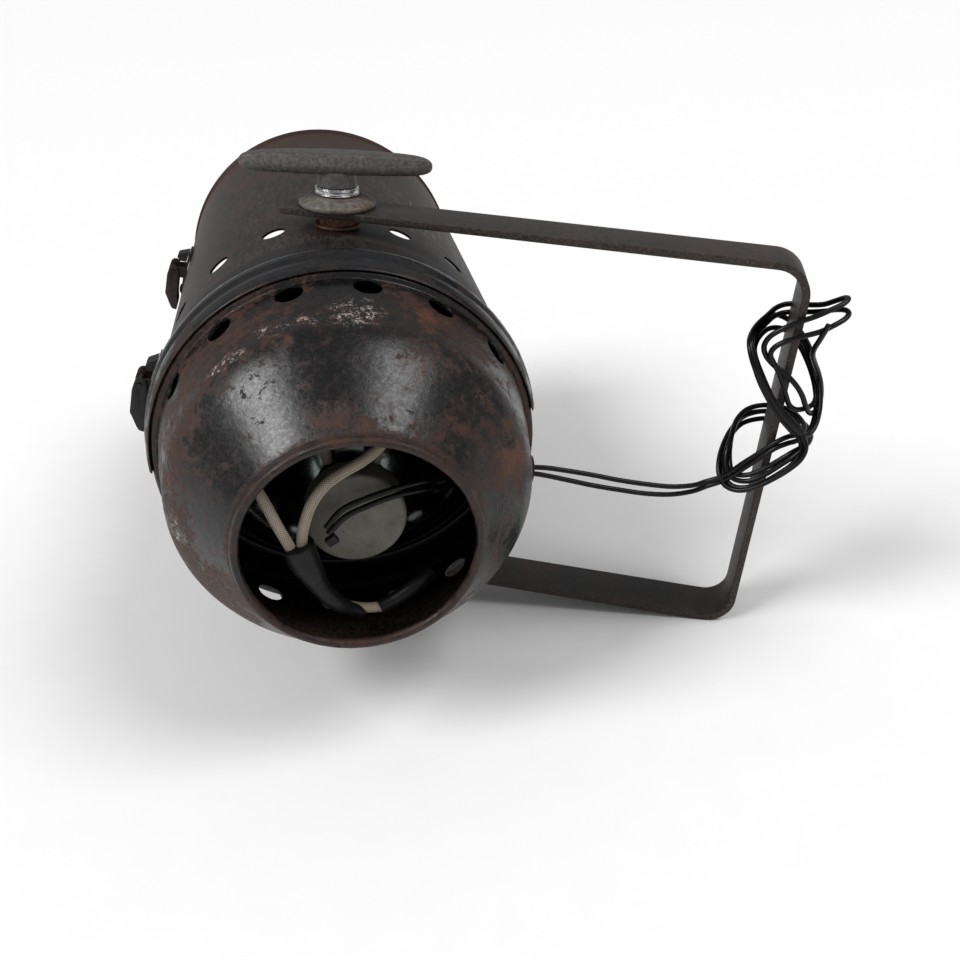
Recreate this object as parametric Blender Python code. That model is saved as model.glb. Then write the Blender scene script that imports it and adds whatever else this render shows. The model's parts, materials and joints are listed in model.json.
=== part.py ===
"""Parcan stage lantern: a round tube and a vented rear housing, hung in a flat-bar yoke.

Metres, +Z up. The lantern is drawn in its own frame, with the beam along +Y, the pivot axis
along +Z and the origin where the two cross. It then lies down as it does on a floor, on the
lower handle and the lower corner of the yoke.
"""

import math

import bmesh
import bpy
from mathutils import Matrix, Vector

MM = 0.001
GAP = 0.3 * MM  # between pieces that touch
SLACK = 0.1 * MM  # between a pin and its bore
CURVE_STEPS = 12  # between two points of a smoothed route

# Front tube
TUBE_R = 100 * MM
TUBE_WALL = 1.0 * MM
TUBE_FRONT = 246.9 * MM
TUBE_REAR = -56.0 * MM
TUBE_SPIGOT = 1.3 * MM  # how far the rear end is drawn in, to enter the housing
SPIGOT_STEP = 0.3 * MM
SWAGE_R = 101.6 * MM  # the low raised band just ahead of the joint
SWAGE_FRONT = -33 * MM
SWAGE_REAR = -49 * MM
RIM_R = 101.4 * MM  # rolled front rim
RIM_WIDTH = 3.4 * MM
RIM_ROUND = 0.8 * MM
PRESS_SLOPE = 0.6 * MM  # length of the slope beside a raised band
VENT_CUT_DEPTH = 16 * MM
TUBE_VENTS = 18
TUBE_VENT_R = 6.5 * MM
TUBE_VENT_Y = 5.2 * MM
TUBE_SIDES = 60

# Rear housing: a widening wall, a tight shoulder and a straight-sided dome down to its mouth
HOUSING_WALL = 1.2 * MM
HOUSING_OUTLINE = [
    (-56.4, 98.5), (-62, 97.6), (-72, 95.8), (-84, 93.9), (-98, 91.9), (-108, 90.3),
    (-114, 88.8), (-118.5, 87.0), (-122, 85.2), (-126, 83.0), (-138, 73.7), (-157.6, 57.8),
]  # along the beam and from the axis, in millimetres
LIP_R = 56.0 * MM
MOUTH_R = 53.0 * MM
LIP_FRONT = -157.9 * MM
HOUSING_REAR = -161.2 * MM
HOUSING_VENTS = 16
HOUSING_VENT_R = 7.0 * MM
HOUSING_VENT_Y = -79.7 * MM
HOUSING_VENT_REACH = 93 * MM
HOUSING_VENT_TURN = math.radians(6.05)  # from the top to the first vent clockwise of it
CABLE_VENT = 4  # the leads leave through this one, counted from the first

# Joint band: a pressed strap that covers the upper part of the joint
BAND_OUTLINE = [
    (-49.9, 102.4), (-50.6, 103.5), (-52.5, 104.1), (-59.2, 103.8), (-61, 102.9),
    (-62.8, 103.7), (-68.5, 103.4), (-71, 102.4), (-72, 100.8), (-70.8, 100.4),
    (-67.8, 101.9), (-63.4, 102.3), (-61, 101.5), (-58.6, 102.4), (-52.8, 102.6),
    (-51.2, 101.9),
]  # along the beam and from the axis, in millimetres
BAND_RIGHT = math.radians(77)
BAND_LEFT = math.radians(-94)

# Two clasps on the left of the tube. Places on them are given in millimetres from their
# middle towards the top, and from the tube outwards.
CLASP_ANGLE = math.radians(-77.5)
CLASP_WIDTH = 15.6 * MM
REAR_CLASP = -48.8 * MM
FRONT_CLASP = 128 * MM
CLASP_PIN = (8.0, 8.6)
CLASP_PIN_R = 1.3 * MM
CLASP_EAR = 1.4 * MM
CLASP_EAR_R = 2.8 * MM
CLASP_SHEET = 1.3 * MM
CLASP_FOOT_THICK = 1.5 * MM
CLASP_FOOT_TURNS = (-15, -10, -5, 0, 5, 9, 13)  # in degrees from the clasp's middle
CLASP_EAR_TURNS = (6.6, 2.4)
CLASP_EAR_SINK = 0.7 * MM
CLASP_PIN_OVERHANG = 0.9 * MM
KEEPER_TURNS = (12.6, 10.6, 8.6)
KEEPER_HOOK = ((15.2, 5.2), (17.4, 7.0), (19.4, 6.4))
KEEPER_INSET = 3.5 * MM
CLASP_LEVER = [(4.4, 11.6), (0.4, 11.4), (-8.3, 10.6), (-11.0, 9.2), (-18.8, 7.4), (-20, 6.0)]
CLASP_CHEEK = [
    (10.6, 7.0), (11.4, 9.0), (10.0, 11.2), (4.4, 11.5), (0.4, 11.3), (-8.0, 10.5),
    (-8.0, 7.0), (-6.0, 5.2), (8.0, 5.2),
]
RIVET_R = 1.6 * MM
RIVET_TAIL_R = 2.6 * MM
RIVET_HEAD_R = 3.2 * MM
RIVET_TURNS = (("upper", -3.0), ("lower", -12.6))  # in degrees from the clasp's middle

# Pivot hardware, the same above and below. Heights are from the beam axis.
STUD_R = 6.0 * MM
STUD_HEAD_R = 10.0 * MM
STUD_HEAD_LOW = 93.4 * MM
STUD_HEAD_HIGH = 98.1 * MM
STUD_TOP = 131 * MM
NUT_ACROSS_FLATS = 19 * MM
NUT_LOW = 100.4 * MM
NUT_HIGH = 106.8 * MM
SEAT_WASHER_R = 12 * MM
SEAT_WASHER_THICK = 1.4 * MM
CUP_R = 20 * MM
CUP_TOP_R = 12.2 * MM
CUP_WALL = 2.0 * MM
CUP_HIGH = 117.0 * MM
COLLAR_R = 11.2 * MM
COLLAR_HIGH = 121.2 * MM
HUB_R = 11.25 * MM
HUB_HIGH = 130.5 * MM
HANDLE_HALF = 49.8 * MM
HANDLE_MIDDLE = 133.2 * MM
HANDLE_HALF_WIDTH = 10.2 * MM
HANDLE_HALF_HEIGHT = 5.4 * MM
HANDLE_TURN = math.radians(-4.6)
HANDLE_STATIONS = 13
HANDLE_SIDES = 12
HANDLE_TAPER = 0.3

# Yoke: flat bar bent into a U, drawn with its arms along +X and turned about the pivot axis
YOKE_TURN = math.radians(-21.26)
YOKE_THICK = 3.9 * MM
YOKE_WIDTH = 28.7 * MM
ARM_INNER = 107.1 * MM
ARM_END = -26.8 * MM
CROSSBAR_INNER = 242.6 * MM
BEND_R = 18 * MM
BEND_STEPS = 6
BARE_TOP = -24 * MM  # the crossbar is bare from its lower bend up to here
BAR_BOW = 0.1 * MM  # and bows outwards by this much at that height

# Lamp and its seat
LAMP_R = 88.5 * MM
LAMP_RIM_FRONT = -33.0 * MM
LAMP_RIM_REAR = -39.5 * MM
LAMP_BACK = -112 * MM
LAMP_BASE_R = 19 * MM
LENS_THICK = 3.0 * MM
LENS_RISE = 7.0 * MM
LENS_INSET = 1.5 * MM
LENS_STEPS = 6
BOWL_WALL = 2.5 * MM
BOWL_STEPS = 6
BOWL_DEPTH_LEFT = 8 * MM  # from the bowl's end to the back of the lamp
LAMP_SIDES = 48
SEAT_THICK = 2 * MM
SEAT_INNER_R = 84 * MM
SPRING_RING_R = 88.6 * MM
SPRING_WIRE_R = 1.5 * MM
SPRING_ENDS = (math.radians(-174), math.radians(176))

# Ceramic lampholder
HOLDER_R = 24 * MM
HOLDER_FRONT = -119.5 * MM
HOLDER_REAR = -135 * MM
CONTACT_APART = 12 * MM
CONTACT_R = 2.2 * MM
CONTACT_DEPTH = 7 * MM

# Leads
WIRE_R = 1.4 * MM
SLEEVE_R = 2.6 * MM
SPLICE_R = 4.6 * MM
TAIL_SLEEVE_R = 3.6 * MM

# Rubber bush in the cable vent
GROMMET_MIDDLE = 93.9 * MM
GROMMET_SLOT = 2.6 * MM
GROMMET_FLANGE = 1.5 * MM
GROMMET_OVERLAP = 2.0 * MM
GROMMET_BORE = 3.7 * MM

# Wire winding on the crossbar: its outline from the bottom up
# height, near side and far side along the yoke, half depth across it, in millimetres
WINDING = [
    (-14, 225, 266, 17.5), (2, 221.5, 270, 20.5), (28, 221.5, 272, 21),
    (56, 220, 265, 20.5), (78, 226, 261, 18.5),
]
WINDING_SIDES = 24
WINDING_SQUARENESS = 0.7
WINDING_SLOT = 0.4 * MM

COLOURS = {
    "blackened": ((0.035, 0.031, 0.030), 0.34, 0.75),
    "grey_steel": ((0.115, 0.108, 0.102), 0.52, 0.80),
    "yoke_steel": ((0.070, 0.062, 0.058), 0.55, 0.70),
    "cast_alloy": ((0.300, 0.290, 0.270), 0.55, 0.85),
    "bright_steel": ((0.720, 0.720, 0.720), 0.22, 1.00),
    "rusty_steel": ((0.220, 0.100, 0.055), 0.80, 0.35),
    "glass": ((0.780, 0.800, 0.800), 0.12, 0.00),
    "mirror": ((0.550, 0.560, 0.560), 0.15, 1.00),
    "ceramic": ((0.360, 0.350, 0.310), 0.75, 0.00),
    "braid": ((0.600, 0.560, 0.470), 0.85, 0.00),
    "black_plastic": ((0.012, 0.012, 0.014), 0.30, 0.00),
    "rubber": ((0.020, 0.020, 0.020), 0.70, 0.00),
}


# ---------------------------------------------------------------- helpers


def clear_scene():
    for obj in list(bpy.data.objects):
        bpy.data.objects.remove(obj, do_unlink=True)


def material(name):
    found = bpy.data.materials.get(name)
    if found:
        return found
    colour, roughness, metallic = COLOURS[name]
    made = bpy.data.materials.new(name)
    made.use_nodes = True
    shader = made.node_tree.nodes["Principled BSDF"]
    shader.inputs["Base Color"].default_value = (*colour, 1)
    shader.inputs["Roughness"].default_value = roughness
    shader.inputs["Metallic"].default_value = metallic
    made.diffuse_color = (*colour, 1)
    return made


def empty(name, parent=None, matrix=None):
    made = bpy.data.objects.new(name, None)
    bpy.context.collection.objects.link(made)
    made.empty_display_size = 20 * MM
    made.parent = parent
    if matrix is not None:
        made.matrix_local = matrix
    return made


def add_object(name, data, finish, parent):
    made = bpy.data.objects.new(name, data)
    bpy.context.collection.objects.link(made)
    data.materials.append(material(finish))
    made.parent = parent
    return made


def mesh_object(name, bm, finish, parent, smooth=True):
    bmesh.ops.recalc_face_normals(bm, faces=bm.faces)
    mesh = bpy.data.meshes.new(name)
    bm.to_mesh(mesh)
    bm.free()
    if smooth:
        mesh.shade_smooth()
        mesh.set_sharp_from_angle(angle=math.radians(35))
    return add_object(name, mesh, finish, parent)


def cutter(name, bm, parent):
    made = mesh_object(name, bm, "rubber", parent, smooth=False)
    made.hide_render = True
    made.display_type = "WIRE"
    return made


def boolean(obj, other, operation="DIFFERENCE"):
    made = obj.modifiers.new(operation.lower(), "BOOLEAN")
    made.operation = operation
    made.solver = "EXACT"
    made.object = other
    return made


def bridge(bm, first, second, closed=True):
    """Quads between two rows of vertices."""
    count = len(first)
    for i in range(count if closed else count - 1):
        j = (i + 1) % count
        bm.faces.new((first[i], first[j], second[j], second[i]))


def turned(outline, sides, axis="Y", bm=None, centre=(0, 0, 0), start=0.0, end=None):
    """A closed outline of (along, radius) points turned about an axis.

    A point of radius 0 lies on the axis. With start and end, in radians from +Z towards +X,
    the shape is a part turn with flat ends.
    """
    bm = bm or bmesh.new()
    whole = end is None
    steps = sides if whole else max(2, math.ceil(sides * (end - start) / (2 * math.pi)))
    span = 2 * math.pi if whole else end - start
    move = Vector(centre)

    def point(along, radius, angle):
        across = (radius * math.sin(angle), radius * math.cos(angle))
        if axis == "Y":
            return move + Vector((across[0], along, across[1]))
        return move + Vector((across[0], across[1], along))

    rows = []
    for i in range(steps if whole else steps + 1):
        angle = start + span * i / steps
        row = []
        for k, (along, radius) in enumerate(outline):
            if radius == 0 and i > 0:
                row.append(rows[0][k])
            else:
                row.append(bm.verts.new(point(along, radius, angle)))
        rows.append(row)
    pairs = zip(rows, rows[1:] + rows[:1]) if whole else zip(rows, rows[1:])
    for one, two in pairs:
        for k in range(len(outline)):
            m = (k + 1) % len(outline)
            corners = []
            for v in (one[k], one[m], two[m], two[k]):
                if v not in corners:
                    corners.append(v)
            if len(corners) > 2:
                bm.faces.new(corners)
    if not whole:
        bm.faces.new(rows[0])
        bm.faces.new(rows[-1])
    return bm


def extruded(outline, low, high, axis="Y", bm=None):
    """A flat outline of 2-D points pushed along an axis: (x, z) along Y, or (x, y) along Z."""
    bm = bm or bmesh.new()

    def point(p, along):
        return Vector((p[0], along, p[1])) if axis == "Y" else Vector((p[0], p[1], along))

    bottom = [bm.verts.new(point(p, low)) for p in outline]
    top = [bm.verts.new(point(p, high)) for p in outline]
    bridge(bm, bottom, top)
    bm.faces.new(bottom)
    bm.faces.new(top)
    return bm


def strap_outline(path, thick):
    """The outline of a strap that follows a path of 2-D points on its left side."""
    left, right = [], []
    for i, p in enumerate(path):
        before = Vector(path[max(i - 1, 0)])
        after = Vector(path[min(i + 1, len(path) - 1)])
        along = (after - before).normalized()
        side = Vector((-along.y, along.x)) * thick
        left.append(tuple(p))
        right.append((p[0] + side.x, p[1] + side.y))
    return left + right[::-1]


def polar(radius_mm, degrees):
    """The (x, z) point at a distance from the beam axis, with degrees from the top."""
    angle = math.radians(degrees)
    return (radius_mm * MM * math.sin(angle), radius_mm * MM * math.cos(angle))


def smooth_points(route, spacing):
    """Points at an even spacing on the smooth curve that passes through a route's points."""
    points = [Vector(p) * MM for p in route]
    ends = [2 * points[0] - points[1], *points, 2 * points[-1] - points[-2]]
    fine = []
    for a, b, c, d in zip(ends, ends[1:], ends[2:], ends[3:]):
        for k in range(CURVE_STEPS):
            t = k / CURVE_STEPS
            fine.append(
                0.5 * (2 * b + (c - a) * t + (2 * a - 5 * b + 4 * c - d) * t * t
                       + (3 * b - 3 * c + d - a) * t ** 3)
            )
    fine.append(points[-1])
    lengths = [0.0]
    for a, b in zip(fine, fine[1:]):
        lengths.append(lengths[-1] + (b - a).length)
    count = max(3, round(lengths[-1] / spacing) + 1)
    made, at = [], 0
    for i in range(count):
        target = lengths[-1] * i / (count - 1)
        while at < len(fine) - 2 and lengths[at + 1] < target:
            at += 1
        step = lengths[at + 1] - lengths[at]
        made.append(fine[at].lerp(fine[at + 1], (target - lengths[at]) / step))
    return made


def tube(name, route, radius, finish, parent, spacing=None, sides=2):
    """A round lead along a route of points in millimetres."""
    points = smooth_points(route, spacing or 5 * radius)
    curve = bpy.data.curves.new(name, "CURVE")
    curve.dimensions = "3D"
    curve.bevel_depth = radius
    curve.bevel_resolution = sides
    curve.use_fill_caps = True
    spline = curve.splines.new("POLY")
    spline.points.add(len(points) - 1)
    for spot, p in zip(spline.points, points):
        spot.co = (*p, 1)
    return add_object(name, curve, finish, parent)


# ---------------------------------------------------------------- housing


def front_tube(parent):
    r, wall = TUBE_R, TUBE_WALL
    rim_rear = TUBE_FRONT - RIM_WIDTH + PRESS_SLOPE
    outline = [
        (TUBE_REAR, r - TUBE_SPIGOT), (TUBE_REAR + 3 * MM, r - SPIGOT_STEP),
        (SWAGE_REAR - PRESS_SLOPE, r), (SWAGE_REAR + 1 * MM, SWAGE_R),
        (SWAGE_FRONT - 1 * MM, SWAGE_R), (SWAGE_FRONT + PRESS_SLOPE, r),
        (rim_rear - PRESS_SLOPE, r), (rim_rear, RIM_R),
        (TUBE_FRONT - RIM_ROUND, RIM_R), (TUBE_FRONT, RIM_R - RIM_ROUND),
        (TUBE_FRONT, r - wall + RIM_ROUND / 2), (TUBE_FRONT - PRESS_SLOPE, r - wall),
        (TUBE_REAR + 3 * MM, r - wall - SPIGOT_STEP), (TUBE_REAR, r - wall - TUBE_SPIGOT),
    ]
    tube_obj = mesh_object("front_tube", turned(outline, TUBE_SIDES), "grey_steel", parent)
    cuts = bmesh.new()
    for i in range(TUBE_VENTS):
        angle = 2 * math.pi * i / TUBE_VENTS
        stud_here = i % (TUBE_VENTS // 2) == 0
        radius = STUD_R + GAP if stud_here else TUBE_VENT_R
        along = 0.0 if stud_here else TUBE_VENT_Y
        turn = Matrix.Rotation(angle, 4, "Y") @ Matrix.Translation((0, along, TUBE_R))
        bmesh.ops.create_cone(
            cuts, cap_ends=True, segments=16, radius1=radius, radius2=radius,
            depth=VENT_CUT_DEPTH, matrix=turn,
        )
    boolean(tube_obj, cutter("tube_vent_cutter", cuts, parent))
    return tube_obj


def rear_housing(parent):
    outer = [(y * MM, r * MM) for y, r in HOUSING_OUTLINE]
    inner = []
    for i, (y, r) in enumerate(outer):
        before = Vector(outer[max(i - 1, 0)])
        after = Vector(outer[min(i + 1, len(outer) - 1)])
        along = (after - before).normalized()
        inner.append((y - along.y * HOUSING_WALL, r + along.x * HOUSING_WALL))
    inner[0] = (outer[0][0], outer[0][1] - HOUSING_WALL)
    lip = [
        (LIP_FRONT - 0.3 * MM, LIP_R + 0.7 * MM), (HOUSING_REAR + 1.2 * MM, LIP_R + 0.3 * MM),
        (HOUSING_REAR, LIP_R - 0.8 * MM), (HOUSING_REAR, MOUTH_R + 0.9 * MM),
        (HOUSING_REAR + 0.9 * MM, MOUTH_R), (LIP_FRONT + 0.9 * MM, MOUTH_R),
    ]
    outline = outer + lip + inner[::-1]
    housing = mesh_object("rear_housing", turned(outline, TUBE_SIDES), "blackened", parent)
    cuts = bmesh.new()
    for i in range(HOUSING_VENTS):
        place = Matrix.Rotation(housing_vent_angle(i), 4, "Y")
        place @= Matrix.Translation((0, HOUSING_VENT_Y, HOUSING_VENT_REACH))
        bmesh.ops.create_cone(
            cuts, cap_ends=True, segments=16, radius1=HOUSING_VENT_R,
            radius2=HOUSING_VENT_R, depth=VENT_CUT_DEPTH, matrix=place,
        )
    boolean(housing, cutter("housing_vent_cutter", cuts, parent))
    return housing


def housing_vent_angle(i):
    return HOUSING_VENT_TURN + 2 * math.pi * i / HOUSING_VENTS


def joint_band(parent):
    outline = [(y * MM, r * MM) for y, r in BAND_OUTLINE]
    band = turned(outline, TUBE_SIDES, start=BAND_LEFT, end=BAND_RIGHT)
    mesh_object("joint_band", band, "blackened", parent)


def disc_outline(centre, radius, sides=14):
    return [
        (centre[0] + radius * math.cos(2 * math.pi * i / sides),
         centre[1] + radius * math.sin(2 * math.pi * i / sides))
        for i in range(sides)
    ]


def clasp_point(toward_top_mm, height_mm):
    """The (x, z) point of a place on the clasp, level with the tube under its middle."""
    n = (math.sin(CLASP_ANGLE), math.cos(CLASP_ANGLE))
    reach = TUBE_R + height_mm * MM
    side = toward_top_mm * MM
    return (reach * n[0] + side * n[1], reach * n[1] - side * n[0])


def clasp_arc(radius, degrees):
    """Points round the beam axis at a radius, with degrees from the clasp's middle."""
    middle = math.degrees(CLASP_ANGLE)
    return [polar(radius / MM, middle + d) for d in degrees]


def ear_end(pin_at):
    """The round outer end of a clasp ear, from the top round to the bottom."""
    middle = math.pi / 2 - CLASP_ANGLE
    points = []
    for k in range(6):
        a = middle + math.pi / 2 - math.pi * k / 5
        points.append((
            pin_at[0] + CLASP_EAR_R * math.cos(a), pin_at[1] + CLASP_EAR_R * math.sin(a)
        ))
    return points


def clasp(side, parent, lever_axis, seat, rear):
    """One clasp: a riveted foot with two ears, a keeper, a pin and a lever on the pin."""
    front = rear + CLASP_WIDTH
    low = seat + GAP
    high = low + CLASP_FOOT_THICK
    foot = clasp_arc(low, CLASP_FOOT_TURNS) + clasp_arc(high, CLASP_FOOT_TURNS[::-1])
    base = mesh_object(
        f"{side}_clasp_foot", extruded(foot, rear, front), "blackened", parent
    )
    ears = bmesh.new()
    cheek = CLASP_SHEET + GAP
    pin_at = clasp_point(*CLASP_PIN)
    ear = clasp_arc(low + CLASP_EAR_SINK, CLASP_EAR_TURNS) + ear_end(pin_at)
    for start in (rear + cheek, front - cheek - CLASP_EAR):
        extruded(ear, start, start + CLASP_EAR, bm=ears)
    boolean(base, cutter(f"{side}_clasp_ears", ears, parent), "UNION")
    hole = extruded(
        disc_outline(pin_at, CLASP_PIN_R + SLACK), rear - MM, front + MM
    )
    boolean(base, cutter(f"{side}_clasp_foot_bore", hole, parent))
    rivets(side, parent, base, seat, rear + CLASP_WIDTH / 2)

    pin = extruded(
        disc_outline(pin_at, CLASP_PIN_R), rear - CLASP_PIN_OVERHANG,
        front + CLASP_PIN_OVERHANG,
    )
    mesh_object(f"{side}_clasp_pin", pin, "bright_steel", parent)

    keeper = clasp_arc(high + GAP, KEEPER_TURNS)
    keeper += [clasp_point(*p) for p in KEEPER_HOOK]
    mesh_object(
        f"{side}_clasp_keeper", extruded(keeper, rear + KEEPER_INSET, front - KEEPER_INSET),
        "rusty_steel", parent,
    )

    def on_lever(points):
        placed = [clasp_point(*p) for p in points]
        return [(x - pin_at[0], z - pin_at[1]) for x, z in placed]

    strap = strap_outline(on_lever(CLASP_LEVER), CLASP_SHEET)
    lever = mesh_object(
        f"{side}_clasp_lever", extruded(strap, rear, front), "blackened", lever_axis
    )
    cheeks = bmesh.new()
    for start in (rear, front - CLASP_SHEET):
        extruded(on_lever(CLASP_CHEEK), start, start + CLASP_SHEET, bm=cheeks)
    boolean(lever, cutter(f"{side}_clasp_cheeks", cheeks, lever_axis), "UNION")
    bore = extruded(
        disc_outline((0, 0), CLASP_PIN_R + SLACK), rear - MM, front + MM
    )
    boolean(lever, cutter(f"{side}_clasp_lever_bore", bore, lever_axis))


def rivets(side, parent, base, seat, along):
    """Two rivets that hold a clasp foot to the tube."""
    cuts = bmesh.new()
    head = seat + GAP + CLASP_FOOT_THICK + GAP
    tail = TUBE_R - TUBE_WALL - 0.5 * MM
    outline = [
        (tail - 1.1 * MM, 0), (tail - 1.1 * MM, RIVET_TAIL_R), (tail, RIVET_TAIL_R),
        (tail, RIVET_R), (head, RIVET_R), (head, RIVET_HEAD_R),
        (head + 0.9 * MM, RIVET_HEAD_R - 0.7 * MM), (head + 1.3 * MM, 0),
    ]
    for name, offset in RIVET_TURNS:
        turn = Matrix.Rotation(CLASP_ANGLE + math.radians(offset), 4, "Y")
        place = turn @ Matrix.Translation((0, along, 0))
        rivet = mesh_object(
            f"{side}_clasp_rivet_{name}", turned(outline, 12, axis="Z"), "rusty_steel", parent
        )
        rivet.matrix_local = place
        radius = RIVET_R + GAP / 2
        bmesh.ops.create_cone(
            cuts, cap_ends=True, segments=12, radius1=radius, radius2=radius,
            depth=VENT_CUT_DEPTH, matrix=place @ Matrix.Translation((0, 0, TUBE_R)),
        )
    hole = cutter(f"{side}_rivet_cutter", cuts, parent)
    boolean(base, hole)
    boolean(bpy.data.objects["front_tube"], hole)


# ---------------------------------------------------------------- pivot hardware


def ring_outline(low, high, outer, inner):
    return [(low, outer), (high, outer), (high, inner), (low, inner)]


def pivot_set(side, housing, collar_frame, handle_frame):
    """The stud, nut, washers, collar and T-handle of one pivot, drawn upwards."""
    bore = STUD_R + GAP
    head = STUD_HEAD_HIGH
    stud = [
        (STUD_HEAD_LOW, 0), (STUD_HEAD_LOW, STUD_HEAD_R - 1 * MM),
        (STUD_HEAD_LOW + 1 * MM, STUD_HEAD_R), (head, STUD_HEAD_R), (head, STUD_R),
        (STUD_TOP - 1 * MM, STUD_R), (STUD_TOP, STUD_R - 1 * MM), (STUD_TOP, 0),
    ]
    mesh_object(f"{side}_stud", turned(stud, 24, axis="Z"), "bright_steel", housing)

    seat_high = NUT_LOW + SEAT_WASHER_THICK
    seat = turned(ring_outline(NUT_LOW, seat_high, SEAT_WASHER_R, bore), 32, axis="Z")
    mesh_object(f"{side}_seat_washer", seat, "rusty_steel", housing)

    nut_r = NUT_ACROSS_FLATS / math.sqrt(3)
    block = [(seat_high + GAP, 0), (seat_high + GAP, nut_r), (NUT_HIGH, nut_r), (NUT_HIGH, 0)]
    nut = turned(block, 6, axis="Z")
    nut_obj = mesh_object(f"{side}_nut", nut, "rusty_steel", housing, smooth=False)
    soften = nut_obj.modifiers.new("soften", "BEVEL")
    soften.width = 0.5 * MM
    soften.segments = 1
    soften.limit_method = "ANGLE"
    soften.angle_limit = math.radians(50)
    hole = [(90 * MM, 0), (90 * MM, bore), (110 * MM, bore), (110 * MM, 0)]
    boolean(nut_obj, cutter(f"{side}_nut_bore", turned(hole, 24, axis="Z"), housing))

    cup_low = ARM_INNER + YOKE_THICK + GAP
    cup = [
        (cup_low, CUP_R), (cup_low + 1.2 * MM, CUP_R + 0.2 * MM),
        (cup_low + 2.2 * MM, CUP_R - 0.8 * MM), (CUP_HIGH - 0.8 * MM, CUP_TOP_R + 1.2 * MM),
        (CUP_HIGH, CUP_TOP_R), (CUP_HIGH, bore), (CUP_HIGH - CUP_WALL, bore),
        (CUP_HIGH - CUP_WALL, CUP_TOP_R - 0.4 * MM), (cup_low + 0.4 * MM, CUP_R - 2.4 * MM),
        (cup_low, CUP_R - 2.2 * MM),
    ]
    mesh_object(f"{side}_cup_washer", turned(cup, 28, axis="Z"), "cast_alloy", housing)

    low, high = CUP_HIGH + GAP, COLLAR_HIGH
    middle = (low + high) / 2
    collar = [
        (low, COLLAR_R - 0.5 * MM), (low + 0.6 * MM, COLLAR_R),
        (middle - 0.5 * MM, COLLAR_R), (middle, COLLAR_R - 0.8 * MM),
        (middle + 0.5 * MM, COLLAR_R), (high - 0.6 * MM, COLLAR_R),
        (high, COLLAR_R - 0.5 * MM), (high, bore), (low, bore),
    ]
    mesh_object(f"{side}_collar", turned(collar, 24, axis="Z"), "bright_steel", collar_frame)

    t_handle(f"{side}_handle", handle_frame)


def t_handle(name, parent):
    """A cast bar with rounded ends on a round hub, with a blind threaded bore."""
    bm = bmesh.new()
    rings = []
    stations, sides = HANDLE_STATIONS, HANDLE_SIDES
    for i in range(stations):
        t = -1 + 2 * i / (stations - 1)
        t = math.sin(t * math.pi / 2)
        round_off = math.sqrt(max(0.0, 1 - abs(t) ** 9))
        swell = 1 - HANDLE_TAPER * abs(t) ** 1.5
        row = []
        for k in range(sides):
            a = 2 * math.pi * k / sides
            across = HANDLE_HALF_WIDTH * swell * round_off * math.cos(a)
            up = HANDLE_HALF_HEIGHT * swell * round_off * math.sin(a)
            if i in (0, stations - 1):
                across, up = 0.0, 0.0
            row.append(Vector((HANDLE_HALF * t, across, HANDLE_MIDDLE + up)))
        rings.append(row)
    first = bm.verts.new(rings[0][0])
    last = bm.verts.new(rings[-1][0])
    rows = [[bm.verts.new(p) for p in row] for row in rings[1:-1]]
    for one, two in zip(rows, rows[1:]):
        bridge(bm, one, two)
    for k in range(sides):
        m = (k + 1) % sides
        bm.faces.new((first, rows[0][m], rows[0][k]))
        bm.faces.new((last, rows[-1][k], rows[-1][m]))
    handle = mesh_object(name, bm, "cast_alloy", parent)
    hub = [
        (COLLAR_HIGH + GAP, 0), (COLLAR_HIGH + GAP, HUB_R - 0.4 * MM),
        (COLLAR_HIGH + GAP + 0.6 * MM, HUB_R), (HUB_HIGH, HUB_R - 0.4 * MM),
        (HUB_HIGH + 2 * MM, HUB_R - 3.2 * MM), (HUB_HIGH + 2 * MM, 0),
    ]
    hub_obj = cutter(f"{name}_hub", turned(hub, 24, axis="Z"), parent)
    boolean(handle, hub_obj, "UNION")
    low = COLLAR_HIGH - 3 * MM
    bore = [(low, 0), (low, STUD_R + GAP), (STUD_TOP + GAP, STUD_R + GAP), (STUD_TOP + GAP, 0)]
    boolean(handle, cutter(f"{name}_bore", turned(bore, 24, axis="Z"), parent))
    return handle


# ---------------------------------------------------------------- yoke


def yoke(parent):
    """One flat bar: two arms, two bends and a crossbar, with a hole for each stud."""
    outer_z = ARM_INNER + YOKE_THICK
    outer_u = CROSSBAR_INNER + YOKE_THICK

    def side(radius_out, z_face, bow):
        points = [(ARM_END, z_face)]
        for i in range(BEND_STEPS + 1):
            a = math.pi / 2 * i / BEND_STEPS
            points.append((
                outer_u - BEND_R + radius_out * math.sin(a),
                outer_z - BEND_R + radius_out * math.cos(a),
            ))
        mirrored = [(u, -z) for u, z in points[::-1]]
        return points + [(points[-1][0] + bow, BARE_TOP)] + mirrored

    outside = side(BEND_R, outer_z, BAR_BOW)
    inside = side(BEND_R - YOKE_THICK, ARM_INNER, 0.0)
    half = YOKE_WIDTH / 2
    bm = extruded(outside + inside[::-1], -half, half)
    made = mesh_object("yoke", bm, "yoke_steel", parent)
    holes = bmesh.new()
    bmesh.ops.create_cone(
        holes, cap_ends=True, segments=24, radius1=STUD_R + GAP, radius2=STUD_R + GAP,
        depth=2 * outer_z + 2 * VENT_CUT_DEPTH,
    )
    boolean(made, cutter("yoke_hole_cutter", holes, parent))
    return made


# ---------------------------------------------------------------- lamp and lampholder


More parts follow.
